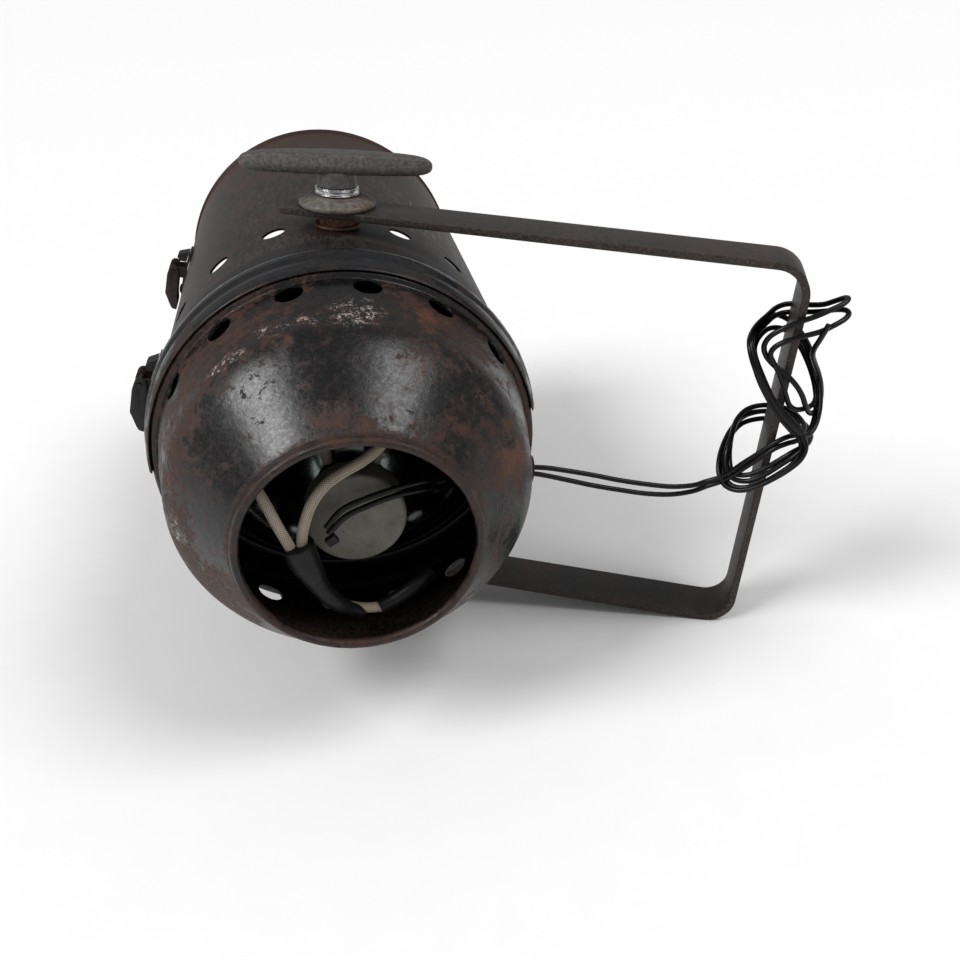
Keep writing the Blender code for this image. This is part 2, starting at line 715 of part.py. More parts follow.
def lamp(parent):
    """A sealed-beam lamp in two glass pieces, its seat in the tube and its spring ring."""
    seat_rear = LAMP_RIM_FRONT + 3 * GAP
    seat_r = TUBE_R - TUBE_WALL - 4 * GAP
    seat = ring_outline(seat_rear, seat_rear + SEAT_THICK, seat_r, SEAT_INNER_R)
    mesh_object("lamp_seat_ring", turned(seat, TUBE_SIDES), "grey_steel", parent)

    front, back = [], []
    for i in range(LENS_STEPS + 1):
        t = i / LENS_STEPS
        rise = LENS_RISE * (1 - t * t)
        front.append((LAMP_RIM_FRONT + rise, (LAMP_R - LENS_INSET) * t))
        back.append((LAMP_RIM_FRONT + rise - LENS_THICK, (LAMP_R - LENS_INSET) * t))
    lens = turned(front + back[::-1], LAMP_SIDES)
    mesh_object("lamp_lens", lens, "glass", parent)

    rim_front = LAMP_RIM_FRONT - LENS_THICK - GAP
    bowl_start = LAMP_RIM_REAR
    bowl_out, bowl_in = [], []
    for i in range(BOWL_STEPS + 1):
        y = bowl_start + (LAMP_BACK + BOWL_DEPTH_LEFT - bowl_start) * i / BOWL_STEPS
        share = (y - LAMP_BACK) / (bowl_start - LAMP_BACK)
        r = (LAMP_R - BOWL_WALL) * math.sqrt(share)
        bowl_out.append((y, r))
        bowl_in.append((y + BOWL_WALL / 4, r - BOWL_WALL))
    outline = [(rim_front, LAMP_R), (bowl_start, LAMP_R)] + bowl_out
    outline += [
        (LAMP_BACK + 5 * MM, LAMP_BASE_R), (LAMP_BACK, LAMP_BASE_R), (LAMP_BACK, 0),
        (LAMP_BACK + 11 * MM, 0),
    ]
    outline += bowl_in[::-1] + [(rim_front, LAMP_R - 2 * BOWL_WALL)]
    mesh_object("lamp_reflector", turned(outline, LAMP_SIDES), "mirror", parent)

    ring = [
        (LAMP_RIM_REAR - GAP - SPRING_WIRE_R + SPRING_WIRE_R * math.cos(a),
         SPRING_RING_R + SPRING_WIRE_R * math.sin(a))
        for a in (2 * math.pi * k / 8 for k in range(8))
    ]
    spring = turned(ring, LAMP_SIDES, start=SPRING_ENDS[0], end=SPRING_ENDS[1])
    mesh_object("lamp_spring_ring", spring, "bright_steel", parent)


def lampholder(parent):
    outline = [
        (HOLDER_FRONT, 0), (HOLDER_FRONT, HOLDER_R - 1 * MM),
        (HOLDER_FRONT - 1 * MM, HOLDER_R), (HOLDER_REAR + 1.2 * MM, HOLDER_R),
        (HOLDER_REAR, HOLDER_R - 1.2 * MM), (HOLDER_REAR, 0),
    ]
    block = mesh_object("lampholder", turned(outline, 40), "ceramic", parent)
    pockets = bmesh.new()
    for name, side in (("left", -1), ("right", 1)):
        x = side * CONTACT_APART / 2
        pin = [
            (LAMP_BACK - GAP, 0), (LAMP_BACK - GAP, CONTACT_R),
            (HOLDER_FRONT - CONTACT_DEPTH, CONTACT_R), (HOLDER_FRONT - CONTACT_DEPTH, 0),
        ]
        turned_pin = turned(pin, 12, centre=(x, 0, 0))
        mesh_object(f"lamp_contact_{name}", turned_pin, "bright_steel", parent)
        room = CONTACT_R + GAP
        end = HOLDER_FRONT - CONTACT_DEPTH - GAP
        pocket = [(HOLDER_FRONT + MM, 0), (HOLDER_FRONT + MM, room), (end, room), (end, 0)]
        turned(pocket, 12, bm=pockets, centre=(x, 0, 0))
    boolean(block, cutter("holder_pockets", pockets, parent))


# ---------------------------------------------------------------- leads inside the housing

# Routes in the lantern's frame, in millimetres
SLEEVE_RIGHT = [
    (18, -123, 22), (17.5, -130, 29), (13, -138, 36.5), (4, -143, 38.5), (-8, -146, 33),
    (-16.5, -147, 20.5), (-21, -148, 8), (-22.6, -148.6, -1.5),
]
SLEEVE_LEFT = [
    (-26, -125, 9.5), (-33, -131, 17), (-40, -137.5, 24.5), (-43.5, -142.5, 23.5),
    (-40.5, -146.5, 14), (-35, -149, 5), (-31, -150.5, -2.6),
]
SPLICE = [
    (-25.5, -149.5, -7.5), (-24, -149.6, -17), (-19, -149, -29), (-12, -146.5, -39.5),
    (-5, -143.5, -45.5),
]
TAIL_BRAID = [(-0.6, -142.6, -47), (4.5, -142.6, -46.8), (8.6, -142.8, -45.6)]
TAIL_SLEEVE = [(10.2, -143, -45), (20, -142, -39.5), (30, -140, -31), (37, -136.5, -20)]
WIRE_INSIDE_UPPER = [
    (-11, -143.4, 4.6), (-4, -142.6, 9.5), (6, -141.4, 14.6), (19, -139.4, 19.2),
    (31, -136, 20), (44, -130, 18), (58, -120.5, 12), (70, -108.5, 5), (80, -93.5, -2.6),
    (85.6, -82.4, -7), (88.9, -79.7, -7.8),
]
WIRE_INSIDE_LOWER = [
    (-10, -143.4, 1), (-3, -142.6, 5.6), (7, -141.4, 10.4), (19.5, -139.4, 15),
    (31, -136.2, 15.6), (43.5, -130.2, 13.4), (57, -120.7, 7.6), (69, -108.7, 1),
    (79, -93.7, -6), (85, -82.6, -10), (88.5, -79.7, -10.7),
]
TIE_PLACE = (-12, -144.5, -4.4)
TIE_SIZE = (5.2, 3.2, 4.0)
TIE_TURN = math.radians(-35)


def inner_leads(parent):
    tube("sleeve_right", SLEEVE_RIGHT, SLEEVE_R, "braid", parent, spacing=5 * MM)
    tube("sleeve_left", SLEEVE_LEFT, SLEEVE_R, "braid", parent, spacing=5 * MM)
    tube("splice_sleeve", SPLICE, SPLICE_R, "black_plastic", parent, spacing=6 * MM)
    tube("tail_braid", TAIL_BRAID, SLEEVE_R, "braid", parent, spacing=4 * MM)
    tube("tail_sleeve", TAIL_SLEEVE, TAIL_SLEEVE_R, "black_plastic", parent, spacing=6 * MM)
    tube("wire_inside_upper", WIRE_INSIDE_UPPER, WIRE_R, "black_plastic", parent, 7 * MM)
    tube("wire_inside_lower", WIRE_INSIDE_LOWER, WIRE_R, "black_plastic", parent, 7 * MM)
    head = bmesh.new()
    bmesh.ops.create_cube(head, size=1)
    bmesh.ops.scale(head, vec=Vector(TIE_SIZE) * MM, verts=head.verts)
    tie = mesh_object("cable_tie", head, "black_plastic", parent, smooth=False)
    turn = Matrix.Rotation(TIE_TURN, 4, "Y")
    tie.matrix_local = Matrix.Translation(Vector(TIE_PLACE) * MM) @ turn


def grommet(parent):
    """The rubber bush that lines the vent that the leads leave through."""
    waist = HOUSING_VENT_R - GAP
    outer = HOUSING_VENT_R + GROMMET_OVERLAP
    low, high = GROMMET_MIDDLE - GROMMET_SLOT, GROMMET_MIDDLE + GROMMET_SLOT
    outline = [
        (low - GROMMET_FLANGE, outer - 0.5 * MM), (low, outer), (low, waist),
        (high, waist), (high, outer), (high + GROMMET_FLANGE, outer - 0.7 * MM),
        (high + GROMMET_FLANGE, GROMMET_BORE), (low - GROMMET_FLANGE, GROMMET_BORE),
    ]
    bush = mesh_object("cable_grommet", turned(outline, 20, axis="Z"), "rubber", parent)
    turn = Matrix.Rotation(housing_vent_angle(CABLE_VENT), 4, "Y")
    bush.matrix_local = turn @ Matrix.Translation((0, HOUSING_VENT_Y, 0))


# ---------------------------------------------------------------- leads outside

# Routes in the lantern's frame, in millimetres, from the grommet to the winding
WIRE_RUN_UPPER = [
    (90, -79.7, -7.8), (97, -80, -8.4), (106, -81, -8.6), (118, -82.5, -10),
    (132, -84.5, -12.2), (147, -87, -14.8), (162, -89.5, -16.6), (176, -91.5, -17.6),
    (188, -92.4, -16.8), (197.5, -93.2, -14.2),
]
WIRE_RUN_LOWER = [
    (90, -79.7, -10.7), (97, -80, -11.4), (106, -81, -13), (118, -82.8, -15.6),
    (132, -85, -18.4), (147, -87.5, -20.6), (162, -89.8, -22.4), (176, -91.6, -22.6),
    (188, -92.6, -20.6), (197.3, -93.2, -17.6),
]
# Routes in the yoke's frame, in millimetres
WIRE_LOOP_LONG = [
    (249.6, 10, 79.6), (251, 9.6, 85), (256, 7.5, 90), (264, 3, 93), (270, -2.5, 92.6),
    (268.5, -8.5, 89), (260, -12.5, 84.5), (252, -13.5, 79.6),
]
WIRE_LOOP_SHORT = [
    (254.5, 4.5, 79.6), (258, 4, 84), (264.5, 1.5, 86.6), (271, -2.5, 85.4),
    (270.5, -8, 81.2), (264.6, -10.5, 77.2),
]
WIRE_TAIL = [(255.5, -17.2, 79.6), (256.6, -18, 82.5), (258.4, -18.6, 86)]


def outer_leads(housing, yoke_frame):
    tube("wire_run_upper", WIRE_RUN_UPPER, WIRE_R, "black_plastic", housing, 6.5 * MM)
    tube("wire_run_lower", WIRE_RUN_LOWER, WIRE_R, "black_plastic", housing, 6.5 * MM)
    tube("wire_loop_long", WIRE_LOOP_LONG, WIRE_R, "black_plastic", yoke_frame)
    tube("wire_loop_short", WIRE_LOOP_SHORT, WIRE_R, "black_plastic", yoke_frame)
    tube("wire_tail", WIRE_TAIL, WIRE_R, "black_plastic", yoke_frame, spacing=3 * MM)
    winding(yoke_frame)


def winding(parent):
    """The outer shape of the leads wound round the crossbar, which passes through it."""
    bm = bmesh.new()
    centre = CROSSBAR_INNER + YOKE_THICK / 2
    outer_rows = []
    for height, near, far, half_depth in WINDING:
        row = []
        for k in range(WINDING_SIDES):
            a = 2 * math.pi * k / WINDING_SIDES
            cos, sin = math.cos(a), math.sin(a)
            reach = far * MM - centre if cos > 0 else centre - near * MM
            u = centre + reach * math.copysign(abs(cos) ** WINDING_SQUARENESS, cos)
            v = half_depth * MM * math.copysign(abs(sin) ** WINDING_SQUARENESS, sin)
            row.append(bm.verts.new((u, v, height * MM)))
        outer_rows.append(row)
    inner_rows = []
    for height in (WINDING[0][0], WINDING[-1][0]):
        row = []
        for k in range(WINDING_SIDES):
            a = 2 * math.pi * k / WINDING_SIDES
            cos, sin = math.cos(a), math.sin(a)
            reach = 1 / max(abs(cos), abs(sin))
            u = centre + (YOKE_THICK / 2 + WINDING_SLOT) * cos * reach
            v = (YOKE_WIDTH / 2 + WINDING_SLOT) * sin * reach
            row.append(bm.verts.new((u, v, height * MM)))
        inner_rows.append(row)
    for one, two in zip(outer_rows, outer_rows[1:]):
        bridge(bm, one, two)
    bridge(bm, inner_rows[0], inner_rows[1])
    bridge(bm, outer_rows[0], inner_rows[0])
    bridge(bm, outer_rows[-1], inner_rows[1])
    mesh_object("wire_winding", bm, "black_plastic", parent)


# ---------------------------------------------------------------- how it lies


def dip_angle():
    """How far the arms dip when the lower handle and the lower bend share the floor."""
    bend_u = CROSSBAR_INNER + YOKE_THICK - BEND_R
    bend_z = ARM_INNER + YOKE_THICK - BEND_R

    def difference(dip):
        half = math.hypot(
            HANDLE_HALF_WIDTH * math.sin(dip), HANDLE_HALF_HEIGHT * math.cos(dip)
        )
        handle = HANDLE_MIDDLE * math.cos(dip) + half
        bend = bend_u * math.sin(dip) + bend_z * math.cos(dip) + BEND_R
        return handle - bend

    low, high = 0.0, math.radians(30)
    for _ in range(50):
        middle = (low + high) / 2
        if difference(middle) > 0:
            low = middle
        else:
            high = middle
    return low


def set_down(rest_frame, cord_names):
    """Puts the lantern on the floor, centred on the origin without its free leads."""
    graph = bpy.context.evaluated_depsgraph_get()
    low = Vector((1e9, 1e9, 1e9))
    high = -low
    for obj in bpy.data.objects:
        if obj.type == "EMPTY" or obj.hide_render or obj.name in cord_names:
            continue
        shown = obj.evaluated_get(graph)
        mesh = shown.to_mesh()
        for vertex in mesh.vertices:
            place = shown.matrix_world @ vertex.co
            low = Vector(map(min, low, place))
            high = Vector(map(max, high, place))
        shown.to_mesh_clear()
    shift = Vector((-(low.x + high.x) / 2, -(low.y + high.y) / 2, -low.z))
    rest_frame.matrix_world = Matrix.Translation(shift) @ rest_frame.matrix_world


def main():
    clear_scene()
    arm_side = Matrix.Rotation(YOKE_TURN, 4, "Z") @ Vector((0, 1, 0))
    rest = empty("rest_frame", matrix=Matrix.Rotation(dip_angle(), 4, arm_side))
    yoke_frame = empty("yoke_frame", rest, Matrix.Rotation(YOKE_TURN, 4, "Z"))
    housing = empty("housing_frame", rest)
    lower = empty("lower_frame", housing, Matrix.Rotation(math.pi, 4, "Y"))

    front_tube(housing)
    rear_housing(housing)
    joint_band(housing)
    pin_at = clasp_point(*CLASP_PIN)
    for side, seat, rear in (("rear", SWAGE_R, REAR_CLASP), ("front", TUBE_R, FRONT_CLASP)):
        place = Matrix.Translation((pin_at[0], 0, pin_at[1]))
        clasp(side, housing, empty(f"{side}_clasp_axis", housing, place), seat, rear)

    top_turn = Matrix.Rotation(HANDLE_TURN, 4, "Z")
    pivot_set("top", housing, housing, empty("top_handle_axis", housing, top_turn))
    # The lower handle is turned across the arms, so that it stands firmly.
    low_turn = Matrix.Rotation(math.pi / 2 - YOKE_TURN, 4, "Z")
    pivot_set("bottom", lower, lower, empty("bottom_handle_axis", lower, low_turn))

    yoke(yoke_frame)
    lamp(housing)
    lampholder(housing)
    inner_leads(housing)
    grommet(housing)
    outer_leads(housing, yoke_frame)

    cords = {
        "wire_run_upper", "wire_run_lower", "wire_loop_long", "wire_loop_short",
        "wire_tail", "wire_winding",
    }
    bpy.context.view_layer.update()
    set_down(rest, cords)


main()
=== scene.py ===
"""Looks of the stage lantern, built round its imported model."""

import json
import math

import bmesh
import bpy
from mathutils import Matrix, Vector
from mathutils.bvhtree import BVHTree
from mathutils.interpolate import poly_3d_calc


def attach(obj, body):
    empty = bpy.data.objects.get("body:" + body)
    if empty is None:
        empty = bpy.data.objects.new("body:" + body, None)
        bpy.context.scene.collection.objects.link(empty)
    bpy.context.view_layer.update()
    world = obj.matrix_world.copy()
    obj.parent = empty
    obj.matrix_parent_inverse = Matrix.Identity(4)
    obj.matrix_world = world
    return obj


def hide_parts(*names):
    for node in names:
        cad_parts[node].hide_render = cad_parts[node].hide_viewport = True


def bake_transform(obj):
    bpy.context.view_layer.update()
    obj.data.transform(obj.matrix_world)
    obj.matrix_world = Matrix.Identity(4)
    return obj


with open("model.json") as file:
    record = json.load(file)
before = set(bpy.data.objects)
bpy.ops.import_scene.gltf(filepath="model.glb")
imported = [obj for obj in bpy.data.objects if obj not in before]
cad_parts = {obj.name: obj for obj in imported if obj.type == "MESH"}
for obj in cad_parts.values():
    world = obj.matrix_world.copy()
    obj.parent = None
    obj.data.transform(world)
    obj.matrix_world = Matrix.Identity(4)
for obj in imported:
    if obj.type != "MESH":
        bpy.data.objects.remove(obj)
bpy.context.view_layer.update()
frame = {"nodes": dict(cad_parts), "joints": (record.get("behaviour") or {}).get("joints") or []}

MM = 0.001
WALL_COSINE = 0.6  # a face that leans more than this from the uncut surface is a cut's wall

# ---------------------------------------------------------------- places

# The lantern's own frame: beam along +Y, pivot axis along +Z, origin where they cross.
tilt = next(j for j in frame["joints"] if j["name"] == "housing_tilt")
YOKE_TURN = math.radians(-21.26)
ARM_SIDE = Matrix.Rotation(YOKE_TURN, 4, "Z") @ Vector((0, 1, 0))
DIP = math.acos(-tilt["axis"][2])
REST = Matrix.Translation(Vector(tilt["pos_m"])) @ Matrix.Rotation(DIP, 4, ARM_SIDE)
YOKE_REST = REST @ Matrix.Rotation(YOKE_TURN, 4, "Z")
LOWER = REST @ Matrix.Rotation(math.pi, 4, "Y")


# ---------------------------------------------------------------- camera

CAMERA_AT = Vector((-22.10, -507.11, 246.99)) * MM
CAMERA_YAW, CAMERA_PITCH, CAMERA_ROLL = -0.2121, -0.5400, 0.0663
CAMERA_LENS = 35.29


def make_camera():
    yaw, pitch, roll = CAMERA_YAW, CAMERA_PITCH, CAMERA_ROLL
    forward = Vector((
        -math.sin(yaw) * math.cos(pitch), math.cos(yaw) * math.cos(pitch), math.sin(pitch)
    ))
    level = Vector((math.cos(yaw), math.sin(yaw), 0))
    above = level.cross(forward)
    right = math.cos(roll) * level + math.sin(roll) * above
    up = -math.sin(roll) * level + math.cos(roll) * above
    turn = Matrix((right, up, -forward)).transposed().to_4x4()
    data = bpy.data.cameras.new("camera")
    data.lens = CAMERA_LENS
    data.sensor_width = 36
    data.clip_start = 0.01
    made = bpy.data.objects.new("camera", data)
    bpy.context.collection.objects.link(made)
    made.matrix_world = REST @ Matrix.Translation(CAMERA_AT) @ turn
    bpy.context.scene.camera = made


make_camera()

# ---------------------------------------------------------------- node materials


class Look:
    """A node material under construction, with short names for the nodes it uses."""

    def __init__(self, name, colour=(0.5, 0.5, 0.5), roughness=0.5, metallic=0.0):
        self.material = bpy.data.materials.new(name)
        self.material.use_nodes = True
        self.tree = self.material.node_tree
        self.shader = self.tree.nodes["Principled BSDF"]
        self.set(base_color=(*colour, 1), roughness=roughness, metallic=metallic)
        self.here = self.node("ShaderNodeTexCoord").outputs["Object"]

    def node(self, kind, **settings):
        made = self.tree.nodes.new(kind)
        for key, value in settings.items():
            setattr(made, key, value)
        return made

    def feed(self, socket, value):
        if isinstance(value, bpy.types.NodeSocket):
            self.tree.links.new(value, socket)
        else:
            socket.default_value = value

    def set(self, **values):
        for key, value in values.items():
            name = key.replace("_", " ").title().replace("Ior", "IOR")
            self.feed(self.shader.inputs[name], value)

    def noise(self, scale, detail=6.0, roughness=0.6, at=None, distortion=0.0):
        made = self.node("ShaderNodeTexNoise")
        self.feed(made.inputs["Vector"], at or self.here)
        made.inputs["Scale"].default_value = scale
        made.inputs["Detail"].default_value = detail
        made.inputs["Roughness"].default_value = roughness
        made.inputs["Distortion"].default_value = distortion
        return made.outputs["Fac"]

    def cells(self, scale, at=None, randomness=1.0):
        made = self.node("ShaderNodeTexVoronoi")
        self.feed(made.inputs["Vector"], at or self.here)
        made.inputs["Scale"].default_value = scale
        made.inputs["Randomness"].default_value = randomness
        return made.outputs["Distance"]

    def stretched(self, scale=(1, 1, 1), turn=(0, 0, 0)):
        made = self.node("ShaderNodeMapping")
        self.feed(made.inputs["Vector"], self.here)
        made.inputs["Scale"].default_value = scale
        made.inputs["Rotation"].default_value = turn
        return made.outputs["Vector"]

    def step(self, value, low, high, out_low=0.0, out_high=1.0):
        """Value from low to high becomes out_low to out_high, smoothly and clamped."""
        made = self.node("ShaderNodeMapRange", interpolation_type="SMOOTHSTEP")
        self.feed(made.inputs["Value"], value)
        for key, number in zip(
            ("From Min", "From Max", "To Min", "To Max"), (low, high, out_low, out_high)
        ):
            made.inputs[key].default_value = number
        return made.outputs["Result"]

    def calc(self, operation, a, b=0.0, clamp=False):
        made = self.node("ShaderNodeMath", operation=operation, use_clamp=clamp)
        self.feed(made.inputs[0], a)
        self.feed(made.inputs[1], b)
        return made.outputs["Value"]

    def times(self, a, b, clamp=False):
        return self.calc("MULTIPLY", a, b, clamp)

    def plus(self, a, b, clamp=False):
        return self.calc("ADD", a, b, clamp)

    def mix(self, share, a, b):
        made = self.node("ShaderNodeMix", data_type="RGBA")
        self.feed(made.inputs["Factor"], share)
        first, second = made.inputs[6], made.inputs[7]
        for socket, value in ((first, a), (second, b)):
            if isinstance(value, tuple) and len(value) == 3:
                value = (*value, 1)
            self.feed(socket, value)
        return made.outputs[2]

    def part(self, axis):
        """One coordinate of the place on the surface."""
        made = self.node("ShaderNodeSeparateXYZ")
        self.feed(made.inputs["Vector"], self.here)
        return made.outputs[axis]

    def spot(self, centre, radius, squeeze=(1, 1, 1), blur=0.5, waver=0.0):
        """1 inside a round spot on the surface, falling to 0 round it."""
        shift = self.node("ShaderNodeVectorMath", operation="SUBTRACT")
        self.feed(shift.inputs[0], self.here)
        shift.inputs[1].default_value = Vector(centre) * MM
        squash = self.node("ShaderNodeVectorMath", operation="MULTIPLY")
        self.feed(squash.inputs[0], shift.outputs["Vector"])
        squash.inputs[1].default_value = squeeze
        size = self.node("ShaderNodeVectorMath", operation="LENGTH")
        self.feed(size.inputs[0], squash.outputs["Vector"])
        distance = size.outputs["Value"]
        if waver:
            wobble = self.step(self.noise(1.2 / (radius * MM), 5.0), 0.2, 0.8, -waver, waver)
            distance = self.plus(distance, self.times(wobble, radius * MM))
        return self.step(distance, radius * MM * (1 - blur), radius * MM * (1 + blur), 1, 0)

    def most(self, *values):
        found = values[0]
        for value in values[1:]:
            found = self.calc("MAXIMUM", found, value)
        return found

    def bump(self, height, distance, strength=1.0, normal=None):
        made = self.node("ShaderNodeBump")
        made.inputs["Strength"].default_value = strength
        made.inputs["Distance"].default_value = distance
        self.feed(made.inputs["Height"], height)
        if normal is not None:
            self.feed(made.inputs["Normal"], normal)
        return made.outputs["Normal"]

    def done(self, colour=None, roughness=None, normal=None, metallic=None):
        for name, value in (
            ("Base Color", colour), ("Roughness", roughness), ("Normal", normal),
            ("Metallic", metallic),
        ):
            if value is not None:
                self.feed(self.shader.inputs[name], value)
        return self.material


def housing_look():
    """Glossy black over steel, half hidden under brown rust, with pits and bare scratches."""
    look = Look("worn_black")
    big = look.noise(15, 9, 0.64, distortion=0.5)
    middle = look.noise(48, 9, 0.72, distortion=0.3)
    small = look.noise(190, 8, 0.75)
    fine = look.noise(520, 5, 0.75)
    grain = look.noise(1300, 3, 0.7)
    cover = look.plus(look.times(big, 0.30),
                      look.plus(look.times(middle, 0.37),
                                look.times(small, 0.33)))
    browned = look.most(
        look.spot((-62, -100, 66), 34, blur=0.7, waver=0.5),
        look.spot((-86, -112, 22), 34, blur=0.8, waver=0.6),
        look.spot((-36, -108, 80), 26, blur=0.8, waver=0.6),
        look.spot((34, -96, 86), 17, blur=0.9, waver=0.8),
        look.spot((76, -130, 20), 20, blur=0.8, waver=0.7),
        look.spot((62, -100, 66), 22, blur=0.9, waver=0.7),
        look.spot((-74, -130, -40), 30, blur=0.8, waver=0.6),
        look.spot((-78, -120, 30), 22, blur=0.9, waver=0.8),
        look.spot((0, -156, 57), 9, squeeze=(0.5, 1, 1), blur=0.9, waver=0.8),
    )
    cleaned = look.most(
        look.spot((-12, -124, 84), 20, squeeze=(1.3, 0.8, 0.8), blur=0.6, waver=0.6),
        look.spot((14, -140, 72), 22, blur=0.7, waver=0.5),
        look.spot((-44, -138, 60), 20, blur=0.7, waver=0.4),
        look.spot((-62, -150, 14), 18, blur=0.7, waver=0.6),
        look.spot((10, -80, 94), 24, blur=0.8, waver=0.4),
        look.spot((84, -120, -8), 20, blur=0.8, waver=0.6),
    )
    cover = look.plus(cover, look.times(browned, 0.062))
    cover = look.calc("SUBTRACT", cover, look.times(cleaned, 0.06))
    rust = look.step(cover, 0.518, 0.562)
    thin = look.times(look.step(cover, 0.455, 0.53), 0.30)
    rust = look.most(rust, thin)
    lip = look.times(look.step(look.part("Y"), -0.1545, -0.1565),
                     look.step(middle, 0.38, 0.58, 0.15, 0.9))
    rust = look.most(rust, lip)
    rust = look.times(rust, look.step(fine, 0.30, 0.56, 0.45, 1.0))
    specks = look.times(look.step(look.noise(700, 4, 0.8), 0.60, 0.68),
                        look.step(look.noise(40, 4, 0.6), 0.44, 0.60))
    pits = look.times(look.step(look.noise(240, 4, 0.7), 0.60, 0.66),
                      look.step(look.noise(34, 4, 0.6), 0.50, 0.60))
    scratch_band = look.most(
        look.spot((-26, -106, 86), 8, squeeze=(0.32, 1.6, 1.6), blur=0.5, waver=0.3),
        look.spot((-56, -111, 71), 7, squeeze=(0.42, 1.8, 1.0), blur=0.5, waver=0.3),
        look.spot((2, -103, 90), 9, squeeze=(0.9, 0.9, 1.0), blur=0.7, waver=0.5),
        look.spot((-84, -126, -6), 6, blur=0.7, waver=0.6),
    )
    scratches = look.times(scratch_band,
                           look.step(look.noise(420, 7, 0.8, distortion=0.8), 0.52, 0.585))
    scratches = look.times(scratches, look.step(middle, 0.40, 0.54))
    black = look.mix(look.step(small, 0.35, 0.7), (0.0022, 0.0026, 0.0036),
                     (0.0070, 0.0074, 0.0092))
    brown = look.mix(look.step(small, 0.3, 0.7), (0.009, 0.0042, 0.0030), (0.052, 0.0185, 0.0100))
    brown = look.mix(look.step(grain, 0.35, 0.7, 0, 0.6), brown, (0.090, 0.038, 0.022))
    orange = look.mix(look.step(grain, 0.3, 0.7), (0.085, 0.028, 0.011), (0.17, 0.065, 0.026))
    flare = look.times(rust, look.most(
        look.times(look.step(look.noise(90, 6, 0.7), 0.58, 0.68), 0.7),
        look.spot((74, -134, 30), 12, blur=0.9, waver=0.9),
        look.spot((36, -96, 85), 7, blur=0.9, waver=0.9),
        look.spot((28, -132, 74), 7, blur=0.9, waver=0.9),
    ))
    colour = look.mix(rust, black, brown)
    colour = look.mix(look.times(flare, 0.7), colour, orange)
    colour = look.mix(look.times(specks, 0.55), colour, (0.12, 0.085, 0.066))
    colour = look.mix(look.times(pits, 0.85), colour, (0.010, 0.006, 0.004))
    colour = look.mix(look.times(scratches, 0.9), colour, (0.62, 0.54, 0.48))
    rough = look.plus(look.step(rust, 0, 1, 0.27, 0.58),
                      look.step(fine, 0.3, 0.7, -0.05, 0.10))
    rough = look.plus(rough, look.times(look.most(specks, pits), 0.3),
                      clamp=True)
    height = look.plus(look.times(fine, look.step(rust, 0, 1, 0.25, 1.0)),
                       look.times(pits, -0.9))
    normal = look.bump(height, 0.30 * MM, 0.55)
    normal = look.bump(look.noise(60, 4, 0.6), 1.0 * MM, 0.45, normal)
    look.set(specular_ior_level=0.5)
    return look.done(colour, rough, normal)


def band_look():
    """Blue-black gloss, speckled at the left, with a painted highlight of speckled bluish grey
    along the front edge.
    """
    look = Look("band_black")
    middle = look.noise(60, 8, 0.66)
    fine = look.noise(300, 6, 0.7)
    left = look.step(look.part("X"), -0.045, -0.085)
    right = look.step(look.part("X"), 0.02, 0.075)
    rust = look.times(look.step(middle, 0.45, 0.60),
                      look.plus(0.25, look.most(left, look.times(right, 0.7))),
                      clamp=True)
    # edge: a painted highlight, speckled bluish grey on the bead's front edge at the upper left and
    # upper right
    edge = look.times(look.step(look.part("Y"), -0.0530, -0.0512),
                      look.step(look.noise(140, 6, 0.7), 0.44, 0.56))
    edge = look.times(edge, look.most(
        look.spot((-62, -51, 83), 24, blur=0.6), look.spot((60, -51, 84), 14, blur=0.9)))
    line = look.times(look.step(look.part("Y"), -0.0700, -0.0712),
                      look.step(look.noise(90, 5, 0.6), 0.42, 0.55))
    colour = look.mix(look.step(fine, 0.3, 0.7), (0.0045, 0.0052, 0.0068), (0.013, 0.0138, 0.0165))
    colour = look.mix(rust, colour, look.mix(fine, (0.010, 0.007, 0.006), (0.045, 0.026, 0.018)))
    colour = look.mix(look.times(line, 0.3), colour, (0.060, 0.036, 0.024))
    # paints the highlight of bluish grey on the front edge
    colour = look.mix(edge, colour, (0.42, 0.43, 0.44))
    normal = look.bump(fine, 0.3 * MM, 0.4)
    look.set(specular_ior_level=0.45)
    return look.done(colour, look.step(rust, 0, 1, 0.26, 0.6), normal)


